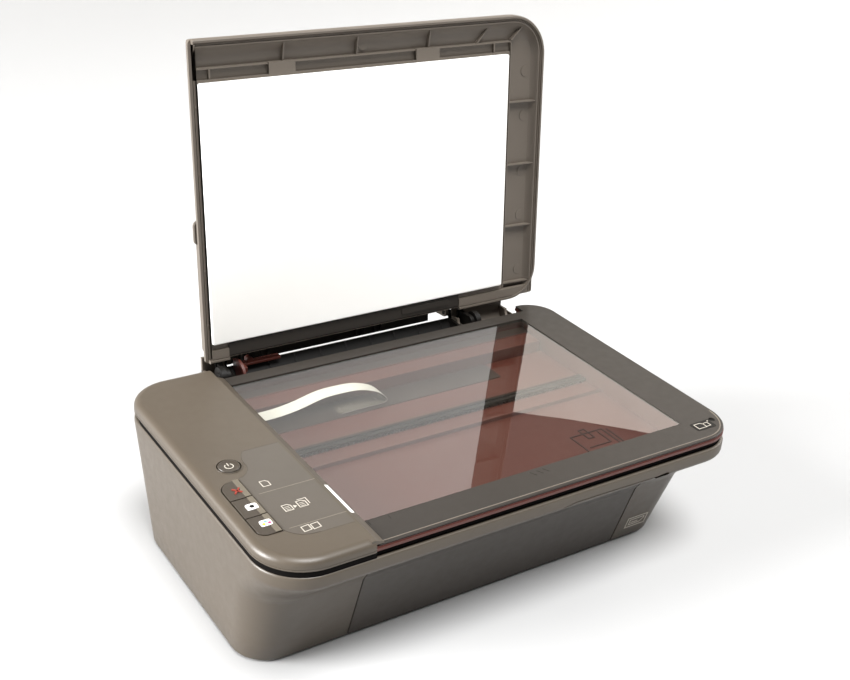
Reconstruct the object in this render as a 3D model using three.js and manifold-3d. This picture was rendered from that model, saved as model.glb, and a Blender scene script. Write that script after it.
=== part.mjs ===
// All-in-one inkjet printer with a flatbed scanner, built as an assembly of separate pieces.
// Millimetres, +Z up, X to the right, the front faces -Y, and the table is at Z = 0.
// It stands with the scanner lid and the rear paper support open and the output tray shut.
import * as THREE from 'three';
import { ParametricGeometry } from 'three/addons/geometries/ParametricGeometry.js';
import { mergeVertices } from 'three/addons/utils/BufferGeometryUtils.js';
import Module from 'manifold-3d';

const wasm = await Module();
wasm.setup();

// ---- Driving dimensions -------------------------------------------------------------------
const GAP = 0.3; // clearance between pieces that touch
const WALL = 2.5; // moulded wall
const HALF_W = 213.5; // half of the overall width
const FRONT = -153; // front rim
const REAR_LEFT = 130; // rear wall behind the control panel
const REAR = 150.4; // rear wall of the paper input
const INPUT_LEFT = -138; // where the deeper rear part begins
const INPUT_RIGHT = 187; // where it ends
const CENTRE_Y = 22.49; // middle of the whole object's depth as it stands

const BODY_BOTTOM = 2;
const BODY_TOP = 112.4;
const KNEE_Z = 72; // height that the front face's lean is measured to
const FLARE = [66, 79, 98, 102.5]; // the flare bends out, runs straight, bends up and ends
const FLARE_TOP = 106;
const GROOVE = [112.7, 114.6]; // dark ring between the body and the scanner
const FLANGE = [114.9, 118.2]; // edge of the scanner tub
const BEZEL = [118.5, 121.2];
const PANEL_TOP = 125.2;
const PANEL_EDGE = -136.5; // where the control panel slopes down to the glass
const PANEL_REAR = 128;
const DECK_REAR = 112; // rear edge of the scanner bezel
const CORNER_REAR = 126.5; // it reaches further back beside the right hinge
const GLASS = { x0: -129.6, x1: 172.5, y0: -122.5, y1: 98.7, z0: 118.5, z1: 120.4 };

const SCAN = { rail: 6, bar: -166 }; // parked under the control panel
const RIBBON = { bar: -158.6, bend: -8, upper: 114.5, lower: 100.4, y: 54, width: 12 };

const LID_AXIS = { y: 125.6, z: 115.3 };
const LID_OPEN = 95.3; // degrees from shut to standing open
const LID_BOTTOM = 121.6;
const LID_TOP = 146;
const LID = { x0: -134.5, x1: 212.5, y0: -156, y1: 115 };
const TAIL = { outer: 21.8, inner: 19.3, top: 137 }; // quarter barrel round the lid's axis
const SLOT = { x0: -113, x1: 123 }; // opening between the lid's two rear barrels
const FLAP_AXIS = { y: 150, z: 117 };

const TRAY = { x0: -125.4, x1: 133.8, plateTop: 66, lipTop: 96.4, thick: 9, skin: 3 };
const TRAY_AXIS = { y: -93.9, z: 8 };
const FACE_BOTTOM_Y = -99; // front face at the table
const FACE_KNEE_Y = -121; // front face at the crease
const FACE_TILT = Math.atan2(FACE_BOTTOM_Y - FACE_KNEE_Y, KNEE_Z);
const DOOR_AXIS = onFace(39.4, 14.5);

const PAPER_Z = 30; // height at which the sheet crosses the platen
const FEED = { y: 22, z: 24, r: 6 };
const OUTPUT = { y: -46, z: 24, r: 6 };
const GEAR_X = [-162, -157];
const MODULE = 1.7;
const ROD = { y: 30, z: 62, r: 4 };
const BELT = { y: [44, 50], z: 80, x0: -128, x1: 168, r: 6 };
const CARRIAGE = { x0: 98, x1: 178, y0: -58, y1: 14, z0: 40, z1: 82 };

// ---- Materials ----------------------------------------------------------------------------
function finish(color, roughness, metalness = 0) {
  return new THREE.MeshStandardMaterial({ color, roughness, metalness });
}
const shellPlastic = finish(0x6d665b, 0.5);
const bezelPlastic = finish(0x4b4642, 0.55);
const lidPlastic = finish(0x5f584e, 0.55);
const brownPlastic = finish(0x5e352c, 0.5);
const blackPlastic = finish(0x1c1a19, 0.5);
const greyPlastic = finish(0x8d8c8a, 0.5);
const whitePlastic = finish(0xe9e8e4, 0.6);
const foam = finish(0xf2f0ea, 0.9);
const rubber = finish(0x262524, 0.85);
const steel = finish(0xa9abad, 0.35, 1);
const circuitBoard = finish(0x2c5a3a, 0.5);
const glass = finish(0xb9c0bd, 0.05);
glass.transparent = true;
glass.opacity = 0.3;

// ---- Solids -------------------------------------------------------------------------------
function toManifold(geometry) {
  const bare = geometry.index ? geometry.clone() : geometry;
  bare.deleteAttribute('normal');
  bare.deleteAttribute('uv');
  const merged = mergeVertices(bare, 1e-4);
  const corners = merged.index.array;
  const kept = [];
  for (let i = 0; i < corners.length; i += 3) {
    const [a, b, c] = [corners[i], corners[i + 1], corners[i + 2]];
    if (a !== b && b !== c && c !== a) kept.push(a, b, c);
  }
  const vertProperties = new Float32Array(merged.attributes.position.array);
  const triVerts = new Uint32Array(kept);
  return new wasm.Manifold(new wasm.Mesh({ numProp: 3, vertProperties, triVerts }));
}

function join(...pieces) {
  return pieces.reduce((sum, piece) => sum.add(piece));
}

function cut(base, ...tools) {
  return tools.reduce((rest, tool) => rest.subtract(tool), base);
}

function toGeometry(solid) {
  const mesh = solid.getMesh();
  const geometry = new THREE.BufferGeometry();
  geometry.setAttribute('position', new THREE.BufferAttribute(new Float32Array(mesh.vertProperties), 3));
  geometry.setIndex(new THREE.BufferAttribute(new Uint32Array(mesh.triVerts), 1));
  geometry.computeVertexNormals();
  return geometry;
}

const EXTRUDE = { bevelEnabled: false, curveSegments: 5 };

// A flat outline in X and Y, raised from z0 to z1.
function slab(shape, z0, z1) {
  const geometry = new THREE.ExtrudeGeometry(shape, { ...EXTRUDE, depth: z1 - z0 });
  return toManifold(geometry.translate(0, 0, z0));
}

// An outline in Y and Z, drawn out from x0 to x1.
function prismX(shape, x0, x1) {
  const geometry = new THREE.ExtrudeGeometry(shape, { ...EXTRUDE, depth: x1 - x0 });
  geometry.applyMatrix4(new THREE.Matrix4().set(0, 0, 1, x0, 1, 0, 0, 0, 0, 1, 0, 0, 0, 0, 0, 1));
  return toManifold(geometry);
}

function box(x0, x1, y0, y1, z0, z1) {
  const geometry = new THREE.BoxGeometry(x1 - x0, y1 - y0, z1 - z0);
  return toManifold(geometry.translate((x0 + x1) / 2, (y0 + y1) / 2, (z0 + z1) / 2));
}

function rodX(x0, x1, y, z, r, sides = 16) {
  const geometry = new THREE.CylinderGeometry(r, r, x1 - x0, sides);
  return toManifold(geometry.rotateZ(Math.PI / 2).translate((x0 + x1) / 2, y, z));
}

function rodY(y0, y1, x, z, r, sides = 16) {
  const geometry = new THREE.CylinderGeometry(r, r, y1 - y0, sides);
  return toManifold(geometry.translate(x, (y0 + y1) / 2, z));
}

function rodZ(z0, z1, x, y, r, sides = 16) {
  const geometry = new THREE.CylinderGeometry(r, r, z1 - z0, sides);
  return toManifold(geometry.rotateX(Math.PI / 2).translate(x, y, (z0 + z1) / 2));
}

function polygon(points) {
  return new THREE.Shape(points.map(([u, v]) => new THREE.Vector2(u, v)));
}

// Rounded rectangle; radii run front-left, front-right, rear-right, rear-left.
function roundedRect(x0, x1, y0, y1, [frontLeft, frontRight, rearRight, rearLeft]) {
  const shape = new THREE.Shape();
  const quarter = Math.PI / 2;
  shape.absarc(x0 + frontLeft, y0 + frontLeft, frontLeft, 2 * quarter, 3 * quarter);
  shape.absarc(x1 - frontRight, y0 + frontRight, frontRight, 3 * quarter, 4 * quarter);
  shape.absarc(x1 - rearRight, y1 - rearRight, rearRight, 0, quarter);
  shape.absarc(x0 + rearLeft, y1 - rearLeft, rearLeft, quarter, 2 * quarter);
  return shape;
}

// Ring sector about an axis along X, in Y and Z.
function sector(y, z, inner, outer, fromDegrees, toDegrees) {
  const shape = new THREE.Shape();
  const [from, to] = [THREE.MathUtils.degToRad(fromDegrees), THREE.MathUtils.degToRad(toDegrees)];
  shape.absarc(y, z, outer, from, to, false);
  shape.absarc(y, z, inner, to, from, true);
  return shape;
}

const CORNER_STEPS = 5;

// Closed solid through rounded rectangles, one for each level; section(z) gives their sizes.
function loft(levels, section) {
  const perRing = 4 * (CORNER_STEPS + 1);
  const rings = levels.map((z) => ringPoints(section(z), z));
  const [bottom, top] = [rings[0], rings[rings.length - 1]].map(ringCentre);
  const rows = [Array(perRing).fill(bottom), ...rings, Array(perRing).fill(top)];
  const surface = (u, v, target) => {
    const row = rows[Math.round(v * (rows.length - 1))];
    target.copy(row[Math.round(u * perRing) % perRing]);
  };
  return toManifold(new ParametricGeometry(surface, perRing, rows.length - 1));
}

function ringPoints({ x0, x1, y0, y1, radii }, z) {
  const [frontLeft, frontRight, rearRight, rearLeft] = radii;
  const corners = [
    [x0 + frontLeft, y0 + frontLeft, frontLeft, 2],
    [x1 - frontRight, y0 + frontRight, frontRight, 3],
    [x1 - rearRight, y1 - rearRight, rearRight, 0],
    [x0 + rearLeft, y1 - rearLeft, rearLeft, 1],
  ];
  return corners.flatMap(([x, y, r, quarter]) =>
    Array.from({ length: CORNER_STEPS + 1 }, (_, step) => {
      const angle = (quarter + step / CORNER_STEPS) * (Math.PI / 2);
      return new THREE.Vector3(x + r * Math.cos(angle), y + r * Math.sin(angle), z);
    }),
  );
}

function ringCentre(ring) {
  return ring.reduce((sum, point) => sum.add(point), new THREE.Vector3()).divideScalar(ring.length);
}

// ---- Scene graph --------------------------------------------------------------------------
const printer = new THREE.Group();
printer.position.y = -CENTRE_Y;

function node(name, solid, material, parent = printer) {
  const mesh = new THREE.Mesh(toGeometry(solid), material);
  mesh.name = name;
  parent.add(mesh);
}

// A group that holds pieces drawn in their shut place and turns them open about an X axis.
function turned(axis, degrees) {
  const hinge = new THREE.Group();
  hinge.position.set(0, axis.y, axis.z);
  hinge.rotation.x = THREE.MathUtils.degToRad(degrees);
  const place = new THREE.Group();
  place.position.set(0, -axis.y, -axis.z);
  hinge.add(place);
  printer.add(hinge);
  return place;
}

// ---- Lower body ---------------------------------------------------------------------------
const BEND = [FLARE[0], 70, 74.5, FLARE[1]];
const LEVELS = [BODY_BOTTOM, ...BEND, FLARE[2], 99.5, 101, FLARE[3], BODY_TOP];

// Share of the flare reached at a height: two bends with a straight slope between them.
function flare(z) {
  const [bendStart, slopeStart, slopeEnd, end] = FLARE;
  const bend = slopeStart - bendStart;
  const steepest = 1 / (bend / 2 + (slopeEnd - slopeStart) + (end - slopeEnd) / 2);
  if (z <= bendStart) return 0;
  if (z < slopeStart) return (steepest * (z - bendStart) ** 2) / (2 * bend);
  if (z <= slopeEnd) return steepest * (z - (bendStart + slopeStart) / 2);
  if (z < end) return 1 - (steepest * (end - z) ** 2) / (2 * (end - slopeEnd));
  return 1;
}

function taper(z) {
  return 1 - Math.min(z, FLARE_TOP) / FLARE_TOP;
}

function bodySides(z, inset) {
  const kneeShare = Math.min(z, KNEE_Z) / KNEE_Z;
  const kneeRight = 186 + 5 * kneeShare;
  return {
    x0: -HALF_W + 5.6 * taper(z) + inset,
    x1: kneeRight + (HALF_W - 191) * flare(z) - inset,
    y0: FACE_BOTTOM_Y + (FACE_KNEE_Y - FACE_BOTTOM_Y) * kneeShare + (FRONT - FACE_KNEE_Y) * flare(z) + inset,
  };
}

function mainSection(inset) {
  return (z) => ({
    ...bodySides(z, inset),
    y1: REAR_LEFT - 18 * taper(z) - inset,
    radii: [28 + 12 * (1 - taper(z)) - inset, 27 + 9 * flare(z) - inset, 36 - inset, 38 - inset],
  });
}

function rearSection(inset) {
  return (z) => ({
    ...bodySides(z, inset),
    x0: INPUT_LEFT + inset,
    x1: INPUT_RIGHT - inset,
    y0: 20,
    y1: REAR - 6 * taper(z) - inset,
    radii: [2, 2, 4 - inset, 4 - inset],
  });
}

function lowerBody() {
  const outer = join(loft(LEVELS, mainSection(0)), loft(LEVELS, rearSection(0)));
  const inside = [BODY_BOTTOM - 5, ...LEVELS.slice(1, -1), BODY_TOP + 5];
  const hollow = join(loft(inside, mainSection(WALL)), loft(inside, rearSection(WALL)));
  const mouth = box(TRAY.x0 - 0.6, TRAY.x1 + 0.6, -165, -60, -5, TRAY.lipTop + 0.6);
  const fingerSlot = box(119.5, 136.5, -165, -143, 95, 102);
  const usbHole = box(-192.4, -175.6, 100, 130, 33.6, 46.4);
  const powerHole = box(139.6, 166.4, 120, 155, 23.6, 42.4);
  const shell = join(cut(outer, hollow, mouth, usbHole, powerHole), mouthWalls());
  node('lower_shell', cut(shell, fingerSlot), shellPlastic);

  const floor = slab(roundedRect(-204.5, 182.5, -92, 108, [26, 27, 30, 36]), 2.5, 5);
  const rearFloor = slab(roundedRect(-134, 181, 100, 140, [2, 2, 33, 6]), 2.5, 5);
  const trayNotch = box(TRAY.x0 - 1, TRAY.x1 + 1, -120, -84, 0, 10);
  const pivots = [TRAY.x0 - 4, TRAY.x1 + 0.6].map((x) => trayPivot(x));
  const doorPosts = [[-119, -106], [122.4, 106]].map(([outside, inside]) => doorPost(outside, inside));
  node('base_plate', join(cut(join(floor, rearFloor), trayNotch), ...pivots, ...doorPosts), blackPlastic);
  for (const [name, x, y] of [
    ['foot_front_left', -180, -62],
    ['foot_front_right', 158, -62],
    ['foot_rear_left', -175, 82],
    ['foot_rear_right', 150, 112],
  ]) {
    node(name, rodZ(0, 2.2, x, y, 8), rubber);
  }
}

// Walls behind the front opening: one at each side, a panel over the cartridge door and a roof.
function mouthWalls() {
  const within = loft([5.4, ...LEVELS.slice(1, -1), 108], mainSection(WALL - 0.1));
  const [x0, x1] = [TRAY.x0 - 3.1, TRAY.x1 + 3.1];
  const sides = [x0, x1 - WALL].map((x) => box(x, x + WALL, -160, -103, 5.4, 97));
  const fascia = box(x0, x1, -105.5, -103, 72, 97);
  const roof = prismX(polygon([
    [-160, 97.4],
    [-141.8, 97.4],
    [-141.8, 95.4],
    [-103, 95.4],
    [-103, 97.6],
    [-139.8, 97.6],
    [-139.8, 99.8],
    [-160, 99.8],
  ]), x0, x1);
  return join(...sides, fascia, roof).intersect(within);
}

// Upright ear beside the tray, with a hole for the tray's pin.
function trayPivot(x) {
  const ear = box(x, x + 3.4, -92, -78, 4, 14);
  const nose = rodX(x, x + 3.4, TRAY_AXIS.y, TRAY_AXIS.z, 4.4);
  return cut(join(ear, nose), rodX(x - 1, x + 5, TRAY_AXIS.y, TRAY_AXIS.z, 2.3, 16));
}

// Post beside the cartridge door, with the pin that the door's knuckle turns on.
function doorPost(outside, inside) {
  const [y, z] = DOOR_AXIS;
  const post = box(outside, outside + 2.6, -86, -72, 4, z + 3);
  const arm = box(outside, outside + 2.6, y - 3, -80, z - 3, z + 3);
  const [from, to] = [Math.min(outside, inside), Math.max(outside, inside)];
  return join(post, arm, rodX(from, to, y, z, 1.3, 12));
}

// ---- Scanner ------------------------------------------------------------------------------
function rimSlab(inset, rear, z0, z1) {
  const radii = [40 - inset, 36 - inset, 36, 22];
  const main = roundedRect(-HALF_W + inset, HALF_W - inset, FRONT + inset, rear, radii);
  const cornerRadii = [1, 1, 36 - inset, 1];
  const corner = roundedRect(150, HALF_W - inset, 0, CORNER_REAR - inset, cornerRadii);
  const besideHinge = box(INPUT_RIGHT - 2.5, HALF_W, 0, CORNER_REAR, z0 - 1, z1 + 1);
  return join(slab(main, z0, z1), slab(corner, z0, z1).intersect(besideHinge));
}

function panelOutline(inset) {
  const radii = [40 - inset, 1, 1, 36 - inset];
  return roundedRect(-HALF_W + inset, PANEL_EDGE, FRONT + inset, PANEL_REAR - inset, radii);
}

function scanner() {
  const innerRing = roundedRect(-200, 200, -140, 104.5, [30, 26, 2, 12]);
  node('groove_ring', cut(rimSlab(2.5, 108, ...GROOVE), slab(innerRing, 100, 125)), blackPlastic);

  const flange = cut(rimSlab(3.2, 111, ...FLANGE), box(-192, 176, -124, 101, 110, 120));
  const basinOutline = roundedRect(-194.5, 178.5, -126.5, 103.5, [18, 6, 6, 12]);
  const basinInside = roundedRect(-192, 176, -124, 101, [16, 4, 4, 10]);
  const basin = cut(slab(basinOutline, 98, 118.2), slab(basinInside, 100, 120));
  node('scanner_tub', join(flange, basin), brownPlastic);

  const opening = box(GLASS.x0, GLASS.x1, GLASS.y0, GLASS.y1, 117, 123);
  const underPanel = box(-HALF_W, -134, -160, 120, 117, 123);
  const deck = rimSlab(0, DECK_REAR, ...BEZEL);
  node('scanner_bezel', cut(deck, opening, underPanel), bezelPlastic);
  const { x0, x1, y0, y1, z0, z1 } = GLASS;
  const pane = box(x0 + GAP, x1 - GAP, y0 + GAP, y1 - GAP, z0, z1);
  node('scanner_glass', pane, glass);
  controlPanel();

  const { rail, bar } = SCAN;
  const groove = box(-192, 176, rail - 1.5, rail + 1.5, 102, 104);
  node('scan_rail', cut(box(-190, 175, rail - 3.5, rail + 3.5, 100.4, 103.4), groove), steel);
  const head = box(bar - 7, bar + 7, -105, 96, 107, 117.4);
  const foot = box(bar - 5, bar + 5, rail - 6, rail + 6, 103.8, 107.5);
  node('scan_bar', join(head, foot, box(bar - 1, bar + 1, rail - 1, rail + 1, 102.4, 104)), bezelPlastic);
  node('scan_motor', rodZ(100.4, 106.7, bar, rail + 26, 6), steel);
  node('scan_ribbon', ribbon(), whitePlastic);
}

// Flat cable: from the scan bar to the right, over in one bend, and back along the tub's floor.
function ribbon() {
  const { bar, bend, upper, lower } = RIBBON;
  const height = (upper - lower) / 2;
  const outline = new THREE.Shape();
  outline.moveTo(bar, upper);
  outline.absarc(bend - height, lower + height, height, Math.PI / 2, -Math.PI / 2, true);
  outline.lineTo(bar - 20, lower);
  outline.lineTo(bar - 20, lower + 0.6);
  outline.absarc(bend - height, lower + height, height - 0.6, -Math.PI / 2, Math.PI / 2, false);
  outline.lineTo(bar, upper - 0.6);
  const geometry = new THREE.ExtrudeGeometry(outline, { ...EXTRUDE, depth: RIBBON.width });
  return toManifold(geometry.rotateX(Math.PI / 2).translate(0, RIBBON.y + RIBBON.width / 2, 0));
}

function controlPanel() {
  const skin = slab(panelOutline(0), FLANGE[0], PANEL_TOP);
  const slopeOutline = [
    [PANEL_EDGE - 4, 123],
    [PANEL_EDGE - 4, PANEL_TOP],
    [PANEL_EDGE, PANEL_TOP],
    [-130.2, 122.4],
    [-130.2, 121.5],
    [PANEL_EDGE, 121.5],
  ];
  const slope = prismXZ(slopeOutline, -148, DECK_REAR);
  const edgeWall = box(PANEL_EDGE - 1.2, PANEL_EDGE + 2, -160, 140, 121.5, 124);
  const under = cut(slab(panelOutline(2.6), FLANGE[0] - 1, 123), edgeWall);
  const openSide = box(PANEL_EDGE - 3, PANEL_EDGE + 1, -150.2, 140, FLANGE[0] - 1, 121.5);
  const holes = BUTTONS.map(({ x, y, dx, dy }) => buttonSolid(x, y, dx + GAP, dy + GAP, 120, 130));
  node('control_panel', cut(join(skin, slope), under, openSide, ...holes), shellPlastic);
  node('control_board', box(-205, -150, -118, 10, 119.0, 119.9), circuitBoard);
  for (const { name, x, y, dx, dy } of BUTTONS) {
    const cap = buttonSolid(x, y, dx, dy, 122, 126.2);
    const stem = rodZ(121.8, 122.5, x, y, 3, 12);
    node(name, join(cap, stem), greyPlastic);
  }
}

const BUTTONS = [
  { name: 'power_button', x: -186, y: -21, dx: 8.5, dy: 8.5 },
  { name: 'cancel_button', x: -194.2, y: -52, dx: 7.6, dy: 10.4 },
  { name: 'mono_copy_button', x: -194.2, y: -75.5, dx: 7.6, dy: 10.4 },
  { name: 'colour_copy_button', x: -194.2, y: -99, dx: 7.6, dy: 10.4 },
];

function buttonSolid(x, y, dx, dy, z0, z1) {
  const r = Math.min(dx, dy) - 0.01;
  const radius = dx === dy ? r : 3;
  return slab(roundedRect(x - dx, x + dx, y - dy, y + dy, Array(4).fill(radius)), z0, z1);
}

// An outline in X and Z, drawn out from y0 to y1.
function prismXZ(points, y0, y1) {
  const geometry = new THREE.ExtrudeGeometry(polygon(points), { ...EXTRUDE, depth: y1 - y0 });
  return toManifold(geometry.rotateX(Math.PI / 2).translate(0, y1, 0));
}

// ---- Lid, drawn shut ----------------------------------------------------------------------
function lid() {
  const place = turned(LID_AXIS, -LID_OPEN);
  const profile = new THREE.Shape();
  profile.moveTo(LID.y0, LID_BOTTOM);
  profile.lineTo(LID.y1, LID_BOTTOM);
  profile.lineTo(LID.y1, TAIL.top);
  profile.quadraticCurveTo(80, LID_TOP, 20, LID_TOP);
  profile.lineTo(-100, LID_TOP);
  profile.quadraticCurveTo(-150, LID_TOP, LID.y0, 130);
  const outline = roundedRect(LID.x0, LID.x1, LID.y0, LID.y1, [4, 37, 30, 2]);
  const outer = slab(outline, 120, 150).intersect(prismX(profile, -140, 220));
  const innerOutline = roundedRect(
    LID.x0 + WALL, LID.x1 - WALL, LID.y0 + WALL, LID.y1 - WALL, [2, 34, 27, 1],
  );
  const inside = slab(innerOutline, 120, 150);
  const lowered = prismX(profile, -140, 220).translate(0, 0, -WALL);
  const ceiling = box(LID.x0, LID.x1, LID.y0, LID.y1, 100, 137);
  const deeper = prismX(profile, -140, 220).translate(0, 0, -4);
  const cavity = inside.intersect(join(lowered, ceiling.intersect(deeper)));
  const leftStep = box(LID.x0 - 1, LID.x0 + WALL + 0.1, -160, 120, 120, 126);
  const tails = [
    [LID.x0, SLOT.x0 - 0.8],
    [SLOT.x1 + 0.8, 182],
  ].map(([x0, x1]) => lidTail(x0, x1));
  node('lid_shell', join(cut(outer, cavity, leftStep), ...tails), lidPlastic, place);

  const liner = slab(roundedRect(-131.6, 209.6, -153, 112, [2, 33, 26, 1]), 125.2, 127);
  const ribs = [-60, 20, 92].map((y) => box(-128, 200, y, y + 1.5, 126.9, 133));
  node('lid_liner', join(liner, ...ribs), lidPlastic, place);
  node('lid_pad', box(-129, 172, -122, 98.2, 120.8, 124.9), foam, place);

  for (const [name, x, pinFrom] of [
    ['lid_hinge_left', -120.5, -128.5],
    ['lid_hinge_right', 131.5, 131.5],
  ]) {
    const arm = prismX(hingeArm(), x - 2, x + 2);
    const pin = rodX(pinFrom, pinFrom + 8, LID_AXIS.y, LID_AXIS.z, 4);
    node(name, join(arm, pin), blackPlastic, place);
  }
}

// Quarter barrel that carries the lid's outer skin down around its hinge axis.
function lidTail(x0, x1) {
  const { y, z } = LID_AXIS;
  const skin = prismX(sector(y, z, TAIL.inner, TAIL.outer, -4, 92), x0, x1);
  const bridge = box(x0, x1, LID.y1 - 2, y + 0.5, TAIL.top - WALL, TAIL.top);
  const end = sector(y, z, 9.6, TAIL.outer - 0.1, -4, 92);
  const ends = [prismX(end, x0, x0 + WALL), prismX(end, x1 - WALL, x1)];
  return join(skin, bridge, ...ends);
}

function hingeArm() {
  const { y, z } = LID_AXIS;
  const shape = new THREE.Shape();
  shape.moveTo(y + 6, z);
  shape.absarc(y, z, 6, 0, -Math.PI / 2, true);
  shape.absarc(y, z, 6, -Math.PI / 2, -Math.PI, true);
  shape.lineTo(y - 6, TAIL.top - WALL - GAP);
  shape.lineTo(y + 6, TAIL.top - WALL - 1.5);
  return shape;
}

// Ear on the body that each lid pin turns in.
function hingeBrackets() {
  const { y, z } = LID_AXIS;
  for (const [name, x0] of [['hinge_bracket_left', -128], ['hinge_bracket_right', 134]]) {
    const ear = rodX(x0, x0 + 5, y, z, 9, 32);
    const webOutline = [[y - 9, z], [y - 3, z - 8.5], [y - 10, 80], [y - 24, 80], [y - 22, 90]];
    const web = prismX(polygon(webOutline), x0, x0 + 5);
    const bore = rodX(x0 - 1, x0 + 6, y, z, 4.3);
    node(name, cut(join(ear, web), bore), blackPlastic);
  }
}

// ---- Rear paper input ---------------------------------------------------------------------
const BED = [
  [147, 111.6],
  [92, 46],
  [74, 36.5],
  [30.5, 29],
  [30.5, 26.8],
  [75, 34.2],
  [94, 44.2],
  [147.3, 107.6],
];
const BED_SLOPE = (BED[0][1] - BED[1][1]) / (BED[0][0] - BED[1][0]);

function bedY(z) {
  return BED[1][0] + (z - BED[1][1]) / BED_SLOPE;
}

function paperInput() {
  const bed = prismX(polygon(BED), -110.6, 121.2);
  const cheekOutline = polygon([[147.3, 112], [147.3, 107.6], [94, 44.2], [86, 44.2], [113, 84], [113, 112]]);
  const cheeks = [prismX(cheekOutline, -113.2, -110.6), prismX(cheekOutline, 120.6, 123.2)];
  const lip = box(-113, 123, 113, 115.5, 84, 112);
  const ribPlaces = [-78, -25, 28, 82].flatMap((x) => [x, x + 5]);
  const ribs = ribPlaces.map((x) => box(x, x + 1, 115, 118, 100, 113.2));
  const lugs = [-113.4, 121].map((x) => flapLug(x));
  node('paper_chute', join(bed, ...cheeks, lip, ...ribs, ...lugs), blackPlastic);

  const fin = new THREE.Shape();
  fin.moveTo(bedY(96) - 1, 96);
  fin.lineTo(146.2, 112.9);
  fin.lineTo(146.2, 118);
  fin.quadraticCurveTo(143, 122, 136, 122);
  fin.quadraticCurveTo(124, 120, 122, 108);
  fin.lineTo(122, 100);
  const foot = box(-103, -62, 139, 146.2, 112.9, 115);
  node('width_guide', join(prismX(fin, -105.4, -102.8), foot), brownPlastic);

  const place = turned(FLAP_AXIS, -LID_OPEN);
  const plate = slab(roundedRect(-123, 132, 24, 155, [26, 26, 5, 5]), 149, 153.5);
  const hollow = slab(roundedRect(-120.5, 129.5, 26.5, 152.5, [24, 24, 3, 3]), 148, 151);
  const arms = [-110.6, 117.2].map((x) => flapArm(x));
  node('input_flap', join(cut(plate, hollow), ...arms), lidPlastic, place);
}

function flapLug(x) {
  const { y, z } = FLAP_AXIS;
  const outline = polygon([
    [145.8, 104],
    [145.8, 112],
    [y - 3, z + 3],
    [y + 3, z + 3],
    [y + 3, z - 2.5],
    [147.2, 112.7],
    [147.2, 104],
  ]);
  const pinLeft = x < 0 ? x + 2 : x - 4.4;
  return join(prismX(outline, x, x + 2.4), rodX(pinLeft, pinLeft + 4.8, y, z, 2, 12));
}

function flapArm(x) {
  const { y, z } = FLAP_AXIS;
  const upright = box(x, x + 3.4, y - 4, y + 4, z, 151.5);
  return cut(join(upright, rodX(x, x + 3.4, y, z, 4, 16)), rodX(x - 1, x + 4.4, y, z, 2.3, 12));
}

// ---- Front tray and door ------------------------------------------------------------------
// Point on the tilted front face: `up` along the face from the table, `into` towards the inside.
function onFace(up, into) {
  const [s, c] = [Math.sin(FACE_TILT), Math.cos(FACE_TILT)];
  return [FACE_BOTTOM_Y - up * s + into * c, up * c + into * s];
}

function faceSlab(x0, x1, up0, up1, into0, into1) {
  const corners = [[up0, into0], [up1, into0], [up1, into1], [up0, into1]].reverse();
  return prismX(polygon(corners.map(([up, into]) => onFace(up, into))), x0, x1);
}

function frontTray() {
  const top = TRAY.plateTop / Math.cos(FACE_TILT);
  const plate = faceSlab(TRAY.x0, TRAY.x1, 2.8, top, 0.6, TRAY.thick);
  const outer = loft([2.8, ...BEND, TRAY.lipTop], mainSection(0));
  const inner = loft([0, ...BEND, FLARE[2], 99], mainSection(TRAY.skin));
  const skin = cut(outer, inner).intersect(box(TRAY.x0, TRAY.x1, -165, -60, 0, 110));
  const pocket = faceSlab(-88, 96, 12, top + 1, 3.5, TRAY.thick + 1);
  const lips = [-90, 92].map((x) => faceSlab(x, x + 6, 11, top, 7.4, TRAY.thick));
  const pins = [TRAY.x0 - 3.6, TRAY.x1 - 3].map((x) => rodX(x, x + 6.6, TRAY_AXIS.y, TRAY_AXIS.z, 2, 16));
  node('output_tray', join(cut(plate, pocket), skin, ...lips, ...pins), bezelPlastic);
  node('tray_extender', faceSlab(-87.4, 95.4, 14, top - 0.4, 3.9, 7), bezelPlastic);

  const door = faceSlab(-112, 118, 42, 69, 13, 16);
  const knuckles = [-112, 108].map((x) => rodX(x, x + 10, ...DOOR_AXIS, 3, 16));
  node('cartridge_door', cut(join(door, ...knuckles), rodX(-113, 119, ...DOOR_AXIS, 1.6, 12)), blackPlastic);
}

// ---- Print mechanism ----------------------------------------------------------------------
function gearShape(teeth, boreRadius, phase) {
  const pitch = (2 * Math.PI) / teeth;
  const radius = (teeth * MODULE) / 2;
  const [tip, root] = [radius + 0.7 * MODULE, radius - 1.0 * MODULE];
  const points = [];
  for (let tooth = 0; tooth < teeth; tooth += 1) {
    const centre = phase + tooth * pitch;
    for (const [r, share] of [[root, -0.3], [tip, -0.12], [tip, 0.12], [root, 0.3]]) {
      points.push([r * Math.cos(centre + share * pitch), r * Math.sin(centre + share * pitch)]);
    }
  }
  const shape = polygon(points);
  shape.holes.push(new THREE.Path().absarc(0, 0, boreRadius, 0, 2 * Math.PI, true));
  return shape;
}

// Turn of a gear whose gap meets a tooth of the gear before it, in the given direction.
function meshPhase(phase, teeth, direction, nextTeeth) {
  const turns = ((direction - phase) * teeth) / (2 * Math.PI);
  const fraction = turns - Math.floor(turns);
  return direction + Math.PI + ((fraction + 0.5) * 2 * Math.PI) / nextTeeth;
}

const FEED_TEETH = 20;
const PINION = { teeth: 8, direction: (110 * Math.PI) / 180 };
const PICKUP_IDLER = { teeth: 26, direction: (35.9 * Math.PI) / 180 };
const PICKUP_TEETH = 12;

function polar(from, direction, distance) {
  return { y: from.y + distance * Math.cos(direction), z: from.z + distance * Math.sin(direction) };
}

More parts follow.
